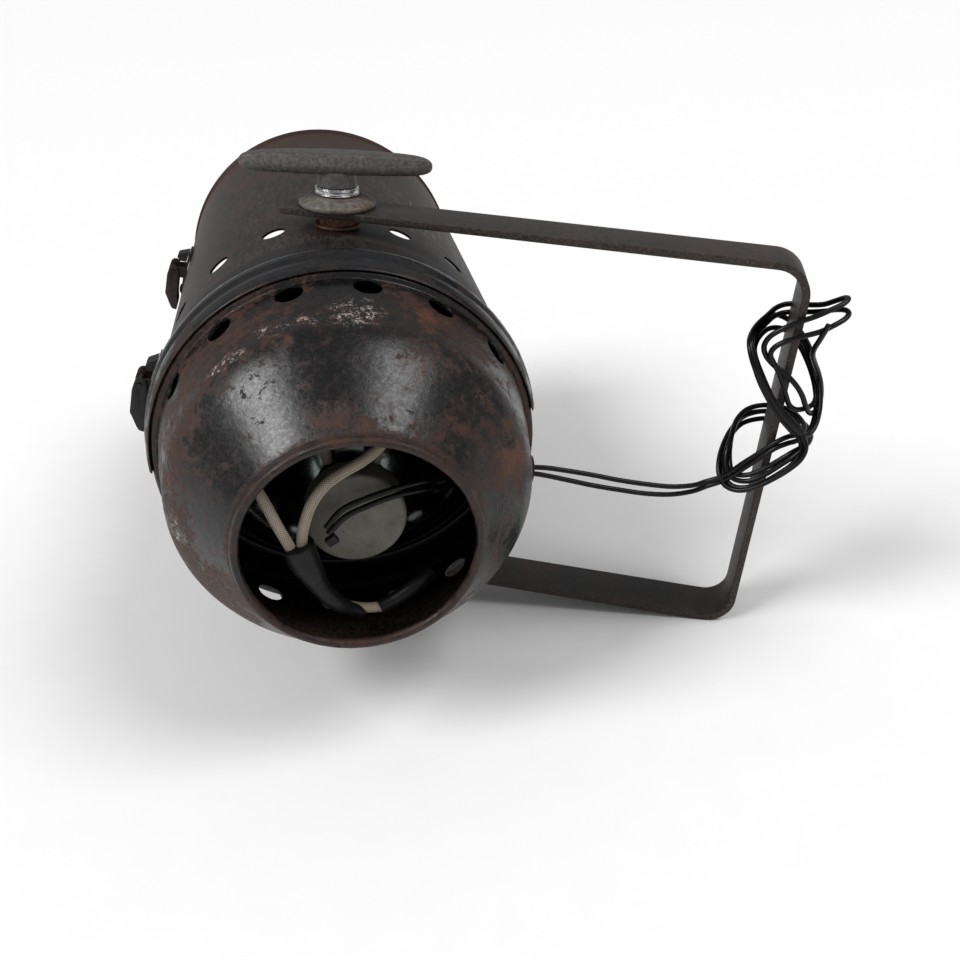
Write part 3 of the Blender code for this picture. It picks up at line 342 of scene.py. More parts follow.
def tube_look():
    """Matt grey-brown paint with fine slanting streaks; rustier towards the front rim."""
    look = Look("tube_paint")
    slanted = look.stretched((1150, 210, 1150), (0.0, 0.25, 0.45))
    streaks = look.noise(1, 7, 0.7, at=slanted)
    coarse = look.noise(1, 6, 0.65, at=look.stretched((330, 70, 330), (0.0, 0.25, 0.45)))
    cloud = look.noise(24, 7, 0.65)
    fine = look.noise(620, 4, 0.75)
    front = look.step(look.plus(look.part("Y"), look.step(cloud, 0.3, 0.7, -0.02, 0.02)),
                      0.160, 0.225)
    weave = look.plus(look.times(streaks, 0.6),
                      look.times(coarse, 0.4))
    colour = look.mix(look.step(weave, 0.38, 0.64), (0.0060, 0.0054, 0.0054), (0.060, 0.053, 0.048))
    brownish = look.times(look.step(cloud, 0.48, 0.62), look.step(fine, 0.3, 0.6))
    colour = look.mix(look.times(brownish, 0.6), colour, (0.058, 0.028, 0.020))
    dots = look.times(look.step(look.noise(300, 4, 0.75), 0.62, 0.68),
                      look.step(cloud, 0.44, 0.56))
    colour = look.mix(look.times(dots, 0.7), colour, (0.12, 0.052, 0.032))
    colour = look.mix(look.times(front, 0.85), colour,
                      look.mix(fine, (0.016, 0.0065, 0.0055), (0.080, 0.034, 0.026)))
    rim = look.step(look.part("Y"), 0.2432, 0.2440)
    colour = look.mix(look.times(rim, 0.85), colour, (0.010, 0.009, 0.009))
    swage = look.times(look.step(look.part("Y"), -0.0262, -0.0270),
                       look.step(look.part("Y"), -0.0284, -0.0276))
    lines = look.times(swage, look.step(look.noise(110, 6, 0.7), 0.52, 0.60))
    colour = look.mix(look.times(lines, 0.4), colour, (0.24, 0.205, 0.18))
    patch = look.times(look.spot((-100, -40, 8), 20, squeeze=(1, 1, 0.8), waver=0.5),
                       look.step(fine, 0.25, 0.6))
    colour = look.mix(look.times(patch, 0.8), colour, (0.19, 0.066, 0.024))
    pale = look.times(look.spot((72, 60, 70), 42, squeeze=(1, 0.7, 1), waver=0.5),
                      look.step(look.noise(1, 5, 0.7, at=look.stretched((600, 60, 600))),
                                0.52, 0.64))
    colour = look.mix(look.times(pale, 0.5), colour, (0.22, 0.215, 0.205))
    dark = look.times(look.step(look.part("Y"), -0.026, -0.034), 0.6)
    colour = look.mix(dark, colour, (0.011, 0.011, 0.012))
    height = look.plus(weave, look.times(fine, 0.4))
    look.set(specular_ior_level=0.28)
    return look.done(colour, look.step(weave, 0.3, 0.7, 0.42, 0.60),
                     look.bump(height, 0.28 * MM, 0.5))


def inside_look():
    """The black inside of the shells, with brown dust along the bottom."""
    look = Look("inside_black")
    fine = look.noise(500, 5, 0.75)
    dust = look.times(look.step(look.part("Z"), -0.038, -0.056),
                      look.step(look.part("Y"), -0.085, -0.11))
    dust = look.times(dust, look.step(fine, 0.36, 0.58))
    colour = look.mix(look.times(dust, 0.9), (0.0065, 0.0062, 0.006),
                      look.mix(look.noise(1400, 2), (0.05, 0.03, 0.02), (0.55, 0.40, 0.29)))
    return look.done(colour, look.step(dust, 0, 1, 0.42, 0.9),
                     look.bump(look.times(fine, look.step(dust, 0, 1, 0.2, 1.0)),
                               0.8 * MM, 0.8))


def steel_look(name, dark, light, rust=0.25, scale=1.0, roughness=(0.42, 0.62)):
    """Dull bar steel: mottled, lightly rusted and rubbed."""
    look = Look(name)
    cloud = look.noise(30 * scale, 7, 0.65)
    fine = look.noise(260 * scale, 6, 0.72)
    grain = look.noise(1100 * scale, 3, 0.7)
    colour = look.mix(look.step(fine, 0.32, 0.70), dark, light)
    colour = look.mix(look.times(look.step(cloud, 0.46, 0.64), rust), colour,
                      look.mix(grain, (0.035, 0.017, 0.011), (0.14, 0.065, 0.038)))
    rubbed = look.times(look.step(grain, 0.60, 0.72), look.step(fine, 0.45, 0.65))
    colour = look.mix(look.times(rubbed, 0.45), colour, (0.30, 0.285, 0.265))
    height = look.plus(fine, look.times(grain, 0.5))
    look.set(specular_ior_level=0.5)
    return look.done(colour, look.step(fine, 0.3, 0.7, *roughness),
                     look.bump(height, 0.25 * MM, 0.55))


def edge_look():
    """The yoke bar's narrow sides, rubbed to a fine speckle of bare steel."""
    look = Look("yoke_edge")
    fine = look.noise(620, 6, 0.75)
    cloud = look.noise(60, 6, 0.7)
    colour = look.mix(look.step(fine, 0.40, 0.66), (0.010, 0.0075, 0.0065), (0.062, 0.050, 0.042))
    colour = look.mix(look.times(look.step(cloud, 0.46, 0.62), 0.5), colour,
                      (0.040, 0.019, 0.013))
    bare = look.times(look.step(look.noise(1100, 4, 0.7), 0.60, 0.68),
                      look.step(cloud, 0.46, 0.60))
    colour = look.mix(look.times(bare, 0.55), colour, (0.34, 0.29, 0.25))
    return look.done(colour, 0.55, look.bump(fine, 0.25 * MM, 0.6))


def cast_look():
    """Rough cast alloy with darker grime in its grain and a few rust stains."""
    look = Look("cast_grey")
    cloud = look.noise(42, 6, 0.62)
    grain = look.noise(520, 5, 0.7)
    coarse = look.noise(150, 6, 0.7)
    colour = look.mix(look.step(grain, 0.32, 0.68), (0.070, 0.068, 0.064), (0.150, 0.147, 0.140))
    colour = look.mix(look.times(look.step(coarse, 0.50, 0.66), 0.30), colour,
                      (0.045, 0.042, 0.038))
    colour = look.mix(look.times(look.step(cloud, 0.55, 0.70), 0.35), colour,
                      (0.085, 0.062, 0.045))
    height = look.plus(grain, look.times(coarse, 0.8))
    look.set(specular_ior_level=0.5)
    return look.done(colour, look.step(grain, 0.3, 0.7, 0.46, 0.66),
                     look.bump(height, 0.35 * MM, 0.7), 0.45)


def cup_look():
    """Beige-grey speckled washer with an orange rust crescent."""
    look = Look("cup_grey")
    grain = look.noise(420, 6, 0.72)
    coarse = look.noise(110, 6, 0.7)
    colour = look.mix(look.step(grain, 0.30, 0.70), (0.075, 0.068, 0.060), (0.225, 0.208, 0.185))
    side = look.spot((16, -13, 112), 9, squeeze=(0.7, 0.9, 1.3), blur=0.8, waver=0.6)
    stain = look.times(side, look.step(coarse, 0.40, 0.58))
    colour = look.mix(look.times(stain, 0.85), colour,
                      look.mix(grain, (0.09, 0.036, 0.015), (0.24, 0.10, 0.04)))
    colour = look.mix(look.times(look.step(coarse, 0.52, 0.64), 0.5), colour,
                      (0.045, 0.036, 0.030))
    return look.done(colour, 0.62, look.bump(grain, 0.4 * MM, 0.7), 0.25)


def bright_look():
    look = Look("bright_rings", metallic=1.0)
    fine = look.noise(600, 5, 0.7)
    colour = look.mix(look.step(fine, 0.35, 0.7), (0.30, 0.30, 0.31), (0.66, 0.66, 0.67))
    return look.done(colour, look.step(fine, 0.3, 0.7, 0.20, 0.38), look.bump(fine, 0.15 * MM, 0.3))


def rust_look():
    look = Look("rusty_nut")
    grain = look.noise(620, 6, 0.75)
    coarse = look.noise(140, 6, 0.7)
    colour = look.mix(look.step(grain, 0.3, 0.7), (0.075, 0.034, 0.018), (0.26, 0.125, 0.070))
    colour = look.mix(look.times(look.step(coarse, 0.5, 0.66), 0.7), colour,
                      (0.045, 0.028, 0.022))
    return look.done(colour, 0.82, look.bump(grain, 0.45 * MM, 0.8))


def braid_look(wales=26, pitch=0.62):
    """A braided sleeve. Its mesh carries turn (0 to 1 round it) and run (metres along it)."""
    look = Look("braid_beige")
    turn = look.node("ShaderNodeAttribute", attribute_name="turn").outputs["Fac"]
    run = look.node("ShaderNodeAttribute", attribute_name="run").outputs["Fac"]
    along = look.times(run, 1 / (pitch * 2 * MM))
    around = look.times(turn, wales / 2)
    one = look.calc("FRACT", look.plus(along, around))
    two = look.calc("FRACT", look.calc("SUBTRACT", along, around))
    rib_one = look.calc("SUBTRACT", 1, look.times(look.calc("ABSOLUTE",
                        look.calc("SUBTRACT", one, 0.5)), 2))
    rib_two = look.calc("SUBTRACT", 1, look.times(look.calc("ABSOLUTE",
                        look.calc("SUBTRACT", two, 0.5)), 2))
    weave = look.calc("MAXIMUM", rib_one, rib_two)
    dirt = look.noise(160, 5, 0.65)
    colour = look.mix(look.step(weave, 0.45, 0.95), (0.20, 0.165, 0.125), (0.50, 0.44, 0.355))
    colour = look.mix(look.step(dirt, 0.48, 0.72, 0.0, 0.5), colour, (0.26, 0.21, 0.155))
    return look.done(colour, 0.8, look.bump(weave, 0.22 * MM, 0.9))


def plastic_look(name, colour, roughness, wobble=0.15, coat=0.0):
    look = Look(name, colour)
    fine = look.noise(500, 4, 0.6)
    soft = look.noise(70, 3, 0.5)
    shade = look.mix(look.step(soft, 0.3, 0.7), tuple(c * 0.75 for c in colour),
                     tuple(min(1, c * 1.5) for c in colour))
    look.set(coat_weight=coat, coat_roughness=0.15, specular_ior_level=0.32)
    return look.done(shade, look.step(fine, 0.3, 0.7, roughness, roughness + wobble),
                     look.bump(look.plus(fine, soft), 0.12 * MM, 0.4))


def ceramic_look():
    look = Look("ceramic")
    cloud = look.noise(60, 5, 0.6)
    fine = look.noise(420, 5, 0.7)
    dots = look.times(look.step(look.cells(300), 0.20, 0.10),
                      look.step(look.noise(120, 3), 0.52, 0.60))
    colour = look.mix(look.step(cloud, 0.3, 0.7), (0.125, 0.120, 0.100), (0.200, 0.193, 0.168))
    colour = look.mix(look.step(fine, 0.5, 0.75, 0, 0.35), colour, (0.090, 0.085, 0.070))
    colour = look.mix(look.times(dots, 0.75), colour, (0.05, 0.045, 0.04))
    return look.done(colour, 0.72, look.bump(fine, 0.15 * MM, 0.5))


def mirror_look():
    """Silvered glass from behind, nearly black where it reflects the dark housing."""
    look = Look("silvered_back", metallic=1.0)
    cloud = look.noise(60, 5, 0.6)
    dust = look.noise(700, 3, 0.7)
    colour = look.mix(look.step(cloud, 0.3, 0.7), (0.10, 0.125, 0.115), (0.19, 0.215, 0.205))
    return look.done(colour, look.step(dust, 0.3, 0.75, 0.10, 0.24),
                     look.bump(cloud, 0.6 * MM, 0.25))


def glass_look():
    look = Look("lens_glass", (0.86, 0.88, 0.88), 0.06)
    ripples = look.cells(62, randomness=0.1)
    look.set(transmission_weight=1.0, ior=1.47)
    return look.done(None, look.step(look.noise(200, 4), 0.3, 0.7, 0.05, 0.12),
                     look.bump(ripples, 1.2 * MM, 0.7))


LOOKS = {
    "housing": housing_look(),
    "band": band_look(),
    "tube": tube_look(),
    "inside": inside_look(),
    "yoke": steel_look("yoke_paint", (0.016, 0.0145, 0.0140), (0.046, 0.041, 0.038), 0.22),
    "yoke_edge": edge_look(),
    "clasp": steel_look("clasp_steel", (0.0055, 0.0050, 0.0048), (0.024, 0.020, 0.018), 0.4),
    "cast": cast_look(),
    "cup": cup_look(),
    "bright": bright_look(),
    "rust": rust_look(),
    "braid": braid_look(),
    "wire": plastic_look("wire_black", (0.0030, 0.0030, 0.0030), 0.24, 0.10),
    "heatshrink": plastic_look("shrink_black", (0.0045, 0.0045, 0.0052), 0.34, 0.2),
    "rubber": plastic_look("rubber_black", (0.018, 0.017, 0.017), 0.62, 0.2),
    "ceramic": ceramic_look(),
    "mirror": mirror_look(),
    "glass": glass_look(),
}

# ---------------------------------------------------------------- mesh helpers


def finish_mesh(name, bm, looks, place, body, nodes=(), angle=35, smooth=True):
    """Makes the object, rides it on its body and hides the CAD nodes that it stands for."""
    bmesh.ops.recalc_face_normals(bm, faces=bm.faces)
    mesh = bpy.data.meshes.new(name)
    bm.to_mesh(mesh)
    bm.free()
    for look in looks if isinstance(looks, (list, tuple)) else [looks]:
        mesh.materials.append(LOOKS[look])
    if smooth:
        mesh.shade_smooth()
        mesh.set_sharp_from_angle(angle=math.radians(angle))
    made = bpy.data.objects.new(name, mesh)
    bpy.context.collection.objects.link(made)
    made.matrix_world = place
    if body:
        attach(made, body)
    if nodes:
        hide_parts(*nodes)
    return made


def bridge(bm, one, two, closed=True):
    count = len(one)
    for i in range(count if closed else count - 1):
        j = (i + 1) % count
        bm.faces.new((one[i], one[j], two[j], two[i]))


def rounded(points, radii, steps=5, closed=True):
    """A polyline with each corner replaced by an arc of about its radius."""
    made = []
    count = len(points)
    for i, p in enumerate(points):
        radius = radii[i] if isinstance(radii, (list, tuple)) else radii
        at = Vector(p)
        if radius <= 0 or (not closed and i in (0, count - 1)):
            made.append(at)
            continue
        back = Vector(points[i - 1]) - at
        ahead = Vector(points[(i + 1) % count]) - at
        reach = min(radius, back.length * 0.45, ahead.length * 0.45)
        first = at + back.normalized() * reach
        last = at + ahead.normalized() * reach
        for k in range(steps + 1):
            t = k / steps
            made.append(first * (1 - t) ** 2 + at * 2 * t * (1 - t) + last * t * t)
    return made


def dense(points, longest, closed=True):
    """The same polyline with its long runs divided."""
    made = []
    count = len(points)
    for i in range(count if closed else count - 1):
        a, b = Vector(points[i]), Vector(points[(i + 1) % count])
        parts = max(1, math.ceil((b - a).length / longest))
        made += [a.lerp(b, k / parts) for k in range(parts)]
    if not closed:
        made.append(Vector(points[-1]))
    return made


def lathe(outline, sides, axis="Y", bm=None, start=0.0, end=None, centre=(0, 0, 0)):
    """A closed outline of (along, radius) in millimetres turned about an axis."""
    bm = bm or bmesh.new()
    whole = end is None
    steps = sides if whole else max(2, round(sides * (end - start) / (2 * math.pi)))
    span = 2 * math.pi if whole else end - start
    move = Vector(centre)
    rows = []
    for i in range(steps if whole else steps + 1):
        a = start + span * i / steps
        row = []
        for k, (along, radius) in enumerate(outline):
            if abs(radius) < 1e-6 and i:
                row.append(rows[0][k])
                continue
            x, z = radius * math.sin(a), radius * math.cos(a)
            spot = (x, along, z) if axis == "Y" else (x, z, along)
            row.append(bm.verts.new((move + Vector(spot)) * MM))
        rows.append(row)
    pairs = list(zip(rows, rows[1:] + rows[:1])) if whole else list(zip(rows, rows[1:]))
    for one, two in pairs:
        for k in range(len(outline)):
            m = (k + 1) % len(outline)
            corners = []
            for v in (one[k], one[m], two[m], two[k]):
                if v not in corners:
                    corners.append(v)
            if len(corners) > 2:
                bm.faces.new(corners)
    if not whole:
        bm.faces.new(rows[0])
        bm.faces.new(rows[-1])
    return bm


def extrude(outline, low, high, axis="Y"):
    """An outline in millimetres pushed along an axis: (x, z) along Y, (x, y) along Z."""
    bm = bmesh.new()

    def spot(p, along):
        return Vector((p[0], along, p[1]) if axis == "Y" else (p[0], p[1], along)) * MM

    bottom = [bm.verts.new(spot(p, low)) for p in outline]
    top = [bm.verts.new(spot(p, high)) for p in outline]
    bridge(bm, bottom, top)
    bm.faces.new(bottom)
    bm.faces.new(top)
    return bm


def cut(obj, cutter_bm, operation="DIFFERENCE"):
    """Boolean with a throwaway mesh, applied at once."""
    bmesh.ops.recalc_face_normals(cutter_bm, faces=cutter_bm.faces)
    mesh = bpy.data.meshes.new("cutter")
    cutter_bm.to_mesh(mesh)
    cutter_bm.free()
    other = bpy.data.objects.new("cutter", mesh)
    bpy.context.collection.objects.link(other)
    other.matrix_world = obj.matrix_world
    apply(obj, "BOOLEAN", solver="EXACT", operation=operation, object=other)
    bpy.data.objects.remove(other, do_unlink=True)


def apply(obj, kind, **settings):
    """Adds a modifier and applies it."""
    made = obj.modifiers.new("step", kind)
    for key, value in settings.items():
        setattr(made, key, value)
    bpy.context.view_layer.update()
    graph = bpy.context.evaluated_depsgraph_get()
    mesh = bpy.data.meshes.new_from_object(obj.evaluated_get(graph), depsgraph=graph)
    old = obj.data
    obj.modifiers.clear()
    obj.data = mesh
    mesh.name = old.name
    bpy.data.meshes.remove(old)


def soften(obj, width, segments=2, angle=30):
    """Rounds the sharp edges of a piece."""
    apply(obj, "BEVEL", width=width * MM, segments=segments, limit_method="ANGLE",
          angle_limit=math.radians(angle), harden_normals=False)
    obj.data.shade_smooth()
    obj.data.set_sharp_from_angle(angle=math.radians(50))


def smooth_like(obj, source):
    """Gives a cut piece the smooth normals of the uncut mesh, save on the walls of the cuts."""
    tree = BVHTree.FromPolygons([v.co for v in source.vertices],
                                [p.vertices for p in source.polygons])
    found = []
    for vertex in obj.data.vertices:
        place, _, index, _ = tree.find_nearest(vertex.co)
        corners = source.polygons[index].vertices
        spots = [source.vertices[i].co for i in corners]
        normal = Vector()
        for i, weight in zip(corners, poly_3d_calc(spots, place)):
            normal += source.vertices[i].normal * weight
        found.append(normal.normalized())
    normals = []
    for face in obj.data.polygons:
        for i in face.vertices:
            agrees = found[i].dot(face.normal) > WALL_COSINE
            normals.append(found[i] if agrees else face.normal)
    obj.data.normals_split_custom_set(normals)
    bpy.data.meshes.remove(source)


def round_cuts(angles, radius, along, reach, depth, sides=40):
    """Cylinders that point out from the beam axis at angles from the top."""
    bm = bmesh.new()
    for a in angles:
        place = Matrix.Rotation(a, 4, "Y") @ Matrix.Translation((0, along * MM, reach * MM))
        bmesh.ops.create_cone(bm, cap_ends=True, segments=sides, radius1=radius * MM,
                              radius2=radius * MM, depth=depth * MM, matrix=place)
    return bm


def smooth_route(points, spacing):
    """Evenly spaced points on the smooth curve through a route's points."""
    route = [Vector(p) for p in points]
    ends = [2 * route[0] - route[1], *route, 2 * route[-1] - route[-2]]
    fine = []
    for a, b, c, d in zip(ends, ends[1:], ends[2:], ends[3:]):
        for k in range(12):
            t = k / 12
            fine.append(0.5 * (2 * b + (c - a) * t + (2 * a - 5 * b + 4 * c - d) * t * t
                               + (3 * b - 3 * c + d - a) * t ** 3))
    fine.append(route[-1])
    lengths = [0.0]
    for a, b in zip(fine, fine[1:]):
        lengths.append(lengths[-1] + (b - a).length)
    count = max(3, round(lengths[-1] / spacing) + 1)
    made, at = [], 0
    for i in range(count):
        target = lengths[-1] * i / (count - 1)
        while at < len(fine) - 2 and lengths[at + 1] < target:
            at += 1
        span = lengths[at + 1] - lengths[at]
        made.append(fine[at].lerp(fine[at + 1], (target - lengths[at]) / span if span else 0))
    return made


def tube_mesh(points, radius, sides=14, bm=None):
    """A round tube along points in metres. Its corners carry turn and run attributes."""
    bm = bm or bmesh.new()
    turn = bm.verts.layers.float.get("turn") or bm.verts.layers.float.new("turn")
    run = bm.verts.layers.float.get("run") or bm.verts.layers.float.new("run")
    rows, travelled, side = [], 0.0, None
    count = len(points)
    for i, p in enumerate(points):
        along = (points[min(i + 1, count - 1)] - points[max(i - 1, 0)]).normalized()
        if side is None:
            side = along.orthogonal().normalized()
        side = (side - along * side.dot(along)).normalized()
        other = along.cross(side)
        if i:
            travelled += (p - points[i - 1]).length
        row = []
        size = radius(i / (count - 1)) if callable(radius) else radius
        for k in range(sides):
            a = 2 * math.pi * k / sides
            v = bm.verts.new(p + (side * math.cos(a) + other * math.sin(a)) * size)
            v[turn] = k / sides
            v[run] = travelled
            row.append(v)
        rows.append(row)
    for one, two in zip(rows, rows[1:]):
        bridge(bm, one, two)
    bm.faces.new(rows[0])
    bm.faces.new(rows[-1])
    return bm


def in_mm(points):
    return [Vector(p) * MM for p in points]


# ---------------------------------------------------------------- leads outside

WIRE_R = 1.4
# In the lantern's frame, in millimetres, from the grommet to the winding
RUN_UPPER = [
    (90, -79.7, -7.8), (97, -80, -8.2), (106, -81, -8.4), (118, -82.5, -10),
    (132, -84.5, -12.2), (147, -87, -14.8), (162, -89.5, -16.6), (176, -91.5, -17.6),
    (188, -92.4, -16.8),
]
RUN_LOWER = [
    (90, -79.7, -11.1), (97, -80, -11.8), (106, -81, -13.2), (118, -82.8, -15.6),
    (132, -85, -18.4), (147, -87.5, -20.6), (162, -89.8, -22.4), (176, -91.6, -22.6),
    (188, -92.6, -20.6),
]
# In the yoke's frame, in millimetres: along the arms, across the bar, and up
WOUND_UPPER = [
    (215.2, -15.6, -14.6), (221.8, -16.2, -10.6), (227.3, -17.2, -5.0), (232.5, -18, 1.6),
    (239.5, -18.4, 9.3), (246.3, -18, 16.4), (252.5, -15.5, 19.6), (259.5, -9, 19),
    (262, 0, 19.5), (259, 10, 20.5), (252, 17, 21), (242, 18.2, 20.5), (233, 15.5, 18),
    (227.4, 8, 14), (225.2, -2, 9), (223.6, -9, 3.6), (223.6, -13, -1.6),
    (225.1, -16, -6.0), (229.5, -18.6, -8.9), (236.7, -20.2, -7.9), (244.2, -21, -2.3),
    (251.3, -21.2, 5.5), (257, -21, 11.7), (261.5, -18, 16.5), (264.5, -11, 17.5),
    (265.5, -2, 17), (263, 9, 17), (255, 17.5, 17), (244, 20.6, 16), (233, 18.5, 12.4),
    (226.4, 11, 7.5), (222.4, 1, 2.5), (220.6, -8, -3.4), (221.4, -14.5, -9.2),
    (225.4, -19, -13.4), (232, -22, -13.6), (239.4, -24, -9.8), (247, -24.6, -3.4),
    (254.4, -24.8, 4.2), (259.6, -24.2, 11.4), (261.0, -22.6, 18), (258.2, -21, 23.4),
    (254.0, -20.6, 28.8), (247.5, -21.2, 34.4), (240.5, -21, 40.8), (234.1, -20, 47.6),
    (228.2, -18.6, 55.3), (224.2, -16.4, 62.8), (222.6, -11, 68.2), (224.4, -4, 72.0),
    (229, 5, 74.6), (236.5, 13.6, 75), (246, 17.6, 70.4), (254.5, 15.4, 62.6),
    (260.4, 10, 53.6), (264.6, 3.4, 44), (266.4, -4, 34.4), (265, -12, 26.4),
    (260.8, -18.4, 23.2), (255, -21.8, 26.2), (249, -23.6, 31.6), (242.6, -24, 38.2),
    (236.6, -23.2, 45.4), (230.9, -21.4, 53.2), (226.4, -18.4, 60.9), (223.6, -13.4, 67.6),
    (223.8, -6.8, 71.6), (226.8, -0.5, 74.6), (230.8, 5, 77.2), (235.0, 11, 79.6),
    (240, 15.6, 80.6), (246, 17.0, 81.2), (252, 14.6, 82.2), (257.9, 9.6, 85),
    (262.2, 4, 89.5), (265.2, -0.5, 92.9), (266.2, -4, 93.6), (263.6, -7.5, 91.9),
    (258.1, -11, 89.5), (251.2, -14.5, 86.5), (243.2, -17, 83.2), (236.2, -18, 79.1),
    (231.1, -17.8, 74.3), (229.4, -17.2, 69), (231.2, -17.2, 64), (236, -18.2, 59.7),
    (243, -18.8, 55.6), (249, -18.6, 50.5), (253.4, -17.6, 45.0), (256.4, -16.6, 39.4),
    (259.2, -13.6, 34.6), (262.6, -8, 31.4), (266.0, -1.4, 31.8), (267.2, 3.6, 36.4),
    (265.6, 4.6, 43.4), (262.4, 2.4, 50.5), (258.8, -2, 56.8), (255.9, -6.6, 62.4),
    (254.8, -11, 68.0), (255.5, -14.4, 73.8), (256.5, -16.5, 79.4), (257.3, -18, 83.9),
]
WOUND_LOWER = [
    (216.4, -15.8, -17.2), (223.4, -16.8, -12.4), (228.6, -18, -6.8), (233.6, -19, -0.6),
    (240.4, -20, 7.6), (246.7, -19.6, 13.9), (252.4, -17, 16.2), (258.6, -10, 15.6),
    (261.2, 0, 15.6), (258.5, 11, 16.4), (251, 17.8, 17), (241, 18.8, 16.2),
    (231.5, 16, 13.6), (226.8, 9, 9.6), (225.6, 0, 5.2), (225.4, -7.5, 0.8),
    (226.2, -12.5, -3.0), (227.8, -15.2, -6.1), (231.2, -17, -6.8), (236.9, -18.2, -4.9),
    (243.9, -18.8, 0.4), (250.4, -19, 7.0), (255.5, -18.2, 11.7), (259.6, -15, 13.4),
    (263.0, -8, 13.4), (263.6, 1, 13.0), (260.4, 11, 12.8), (252, 18.4, 12.6),
    (242, 20.2, 11), (232.4, 17.4, 8), (226.4, 9.6, 3.6), (223.4, 0.6, -1.2),
    (222.8, -8, -6.4), (224.6, -14, -10.8), (229.6, -18.4, -13.4), (236.4, -20.6, -11.8),
    (243.8, -22.4, -6.6), (251, -22.8, 0.6), (256.8, -22.2, 7.4), (259.4, -20.4, 13.6),
    (258.8, -18.6, 18.4), (256.4, -17.6, 22.0), (252.6, -17.8, 26.4), (246.8, -18.6, 31.6),
    (241.6, -18.8, 37.9), (237.0, -18, 44.6), (232.0, -16.8, 52.3), (227.8, -14.6, 59.2),
    (226.0, -9.6, 63.8), (228.2, -1, 67.2), (233.8, 8.4, 69), (242.2, 15.6, 66.8),
    (251, 16.8, 60), (258, 12.6, 51), (262.8, 6, 42), (265, -1.6, 32.8), (264, -9.6, 25.2),
    (260.2, -16, 21), (255, -19, 23), (249.2, -20.8, 28.2), (243, -21.4, 34.4),
    (237.4, -21, 41.2), (231.8, -19.6, 48.8), (227.6, -17.2, 56), (225.2, -12.8, 62),
    (225.0, -8, 66.6), (226.3, -3.5, 69.6), (228.6, 0.5, 71.6), (231.4, 5, 73.4),
    (234.9, 10.6, 75.0), (239.5, 15.4, 75.8), (246, 17.4, 76.6), (252.5, 15.0, 78.2),
    (259.0, 9.6, 81.4), (263.9, 4, 84.9), (267.2, -0.5, 86.6), (268.3, -4, 86.0),
    (266.1, -8, 84.4), (261, -12, 81.9), (254.7, -15, 78.9), (246.5, -17.6, 76.3),
    (239.2, -19, 73.4), (234.3, -19.2, 69.5), (233.2, -18.8, 65.3), (235.4, -18.6, 61.3),
    (239.3, -19, 56.2), (242.6, -19, 50.2), (245.4, -18.6, 44.2), (248.4, -18.4, 38.8),
    (252.2, -17.2, 36.4), (256.4, -13.2, 35.4), (260.8, -6.6, 34.4), (264.0, 0.6, 34.4),
    (265.2, 7.2, 38), (263.6, 10.8, 44), (260.6, 12.6, 51), (256, 14.8, 58.6),
    (250.5, 16.6, 64.8),
]


def outer_leads():
    for name, run, wound, nodes in (
        ("lead_upper", RUN_UPPER, WOUND_UPPER,
         ("wire_run_upper", "wire_loop_long", "wire_tail", "wire_winding")),
        ("lead_lower", RUN_LOWER, WOUND_LOWER, ("wire_run_lower", "wire_loop_short")),
    ):
        route = [REST @ p for p in in_mm(run)] + [YOKE_REST @ p for p in in_mm(wound)]
        points = smooth_route(route, 1.4 * MM)
        made = finish_mesh(name, tube_mesh(points, WIRE_R * MM, 12), "wire",
                           Matrix.Identity(4), None, nodes)
        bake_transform(made)


outer_leads()

# ---------------------------------------------------------------- shells

TUBE_SIDES = 216
TUBE_VENTS = [math.radians(20 * k) for k in range(18) if k % 9]
STUD_HOLES = [0.0, math.pi]
HOUSING_VENTS = [math.radians(6.05 + 22.5 * k) for k in range(16)]
INNER = 1


def mark_inside(mesh_or_obj, test, index):
    for face in mesh_or_obj.data.polygons:
        if test(face.center / MM, face.normal):
            face.material_index = index


def faces_axis(centre, normal):
    """True where a face of a shell about the beam axis looks towards that axis."""
    out = Vector((centre.x, 0, centre.z))
    return normal.dot(out) < 0


def front_tube():
    outline = rounded([
        (-56, 98.7), (-53, 99.7), (-50.2, 100), (-48.6, 101.5), (-28.4, 101.5), (-26.8, 100),
        (242.6, 100), (243.6, 101.5), (246.3, 101.5), (247.0, 100.4), (246.6, 99.0),
        (-53, 98.7), (-56, 97.7),
    ], [0.4, 1, 0.6, 0.8, 0.8, 0.6, 0.4, 0.8, 0.9, 0.7, 0.5, 1, 0.3], 4)
    bm = lathe(dense(outline, 9), TUBE_SIDES)
    obj = finish_mesh("front_tube_shell", bm, ["tube", "inside"], REST, "housing",
                      ("front_tube",))
    whole = obj.data.copy()
    cut(obj, round_cuts(TUBE_VENTS, 6.5, 5.2, 100, 12))
    cut(obj, round_cuts(STUD_HOLES, 6.3, 0, 100, 12))
    smooth_like(obj, whole)
    mark_inside(obj, faces_axis, INNER)


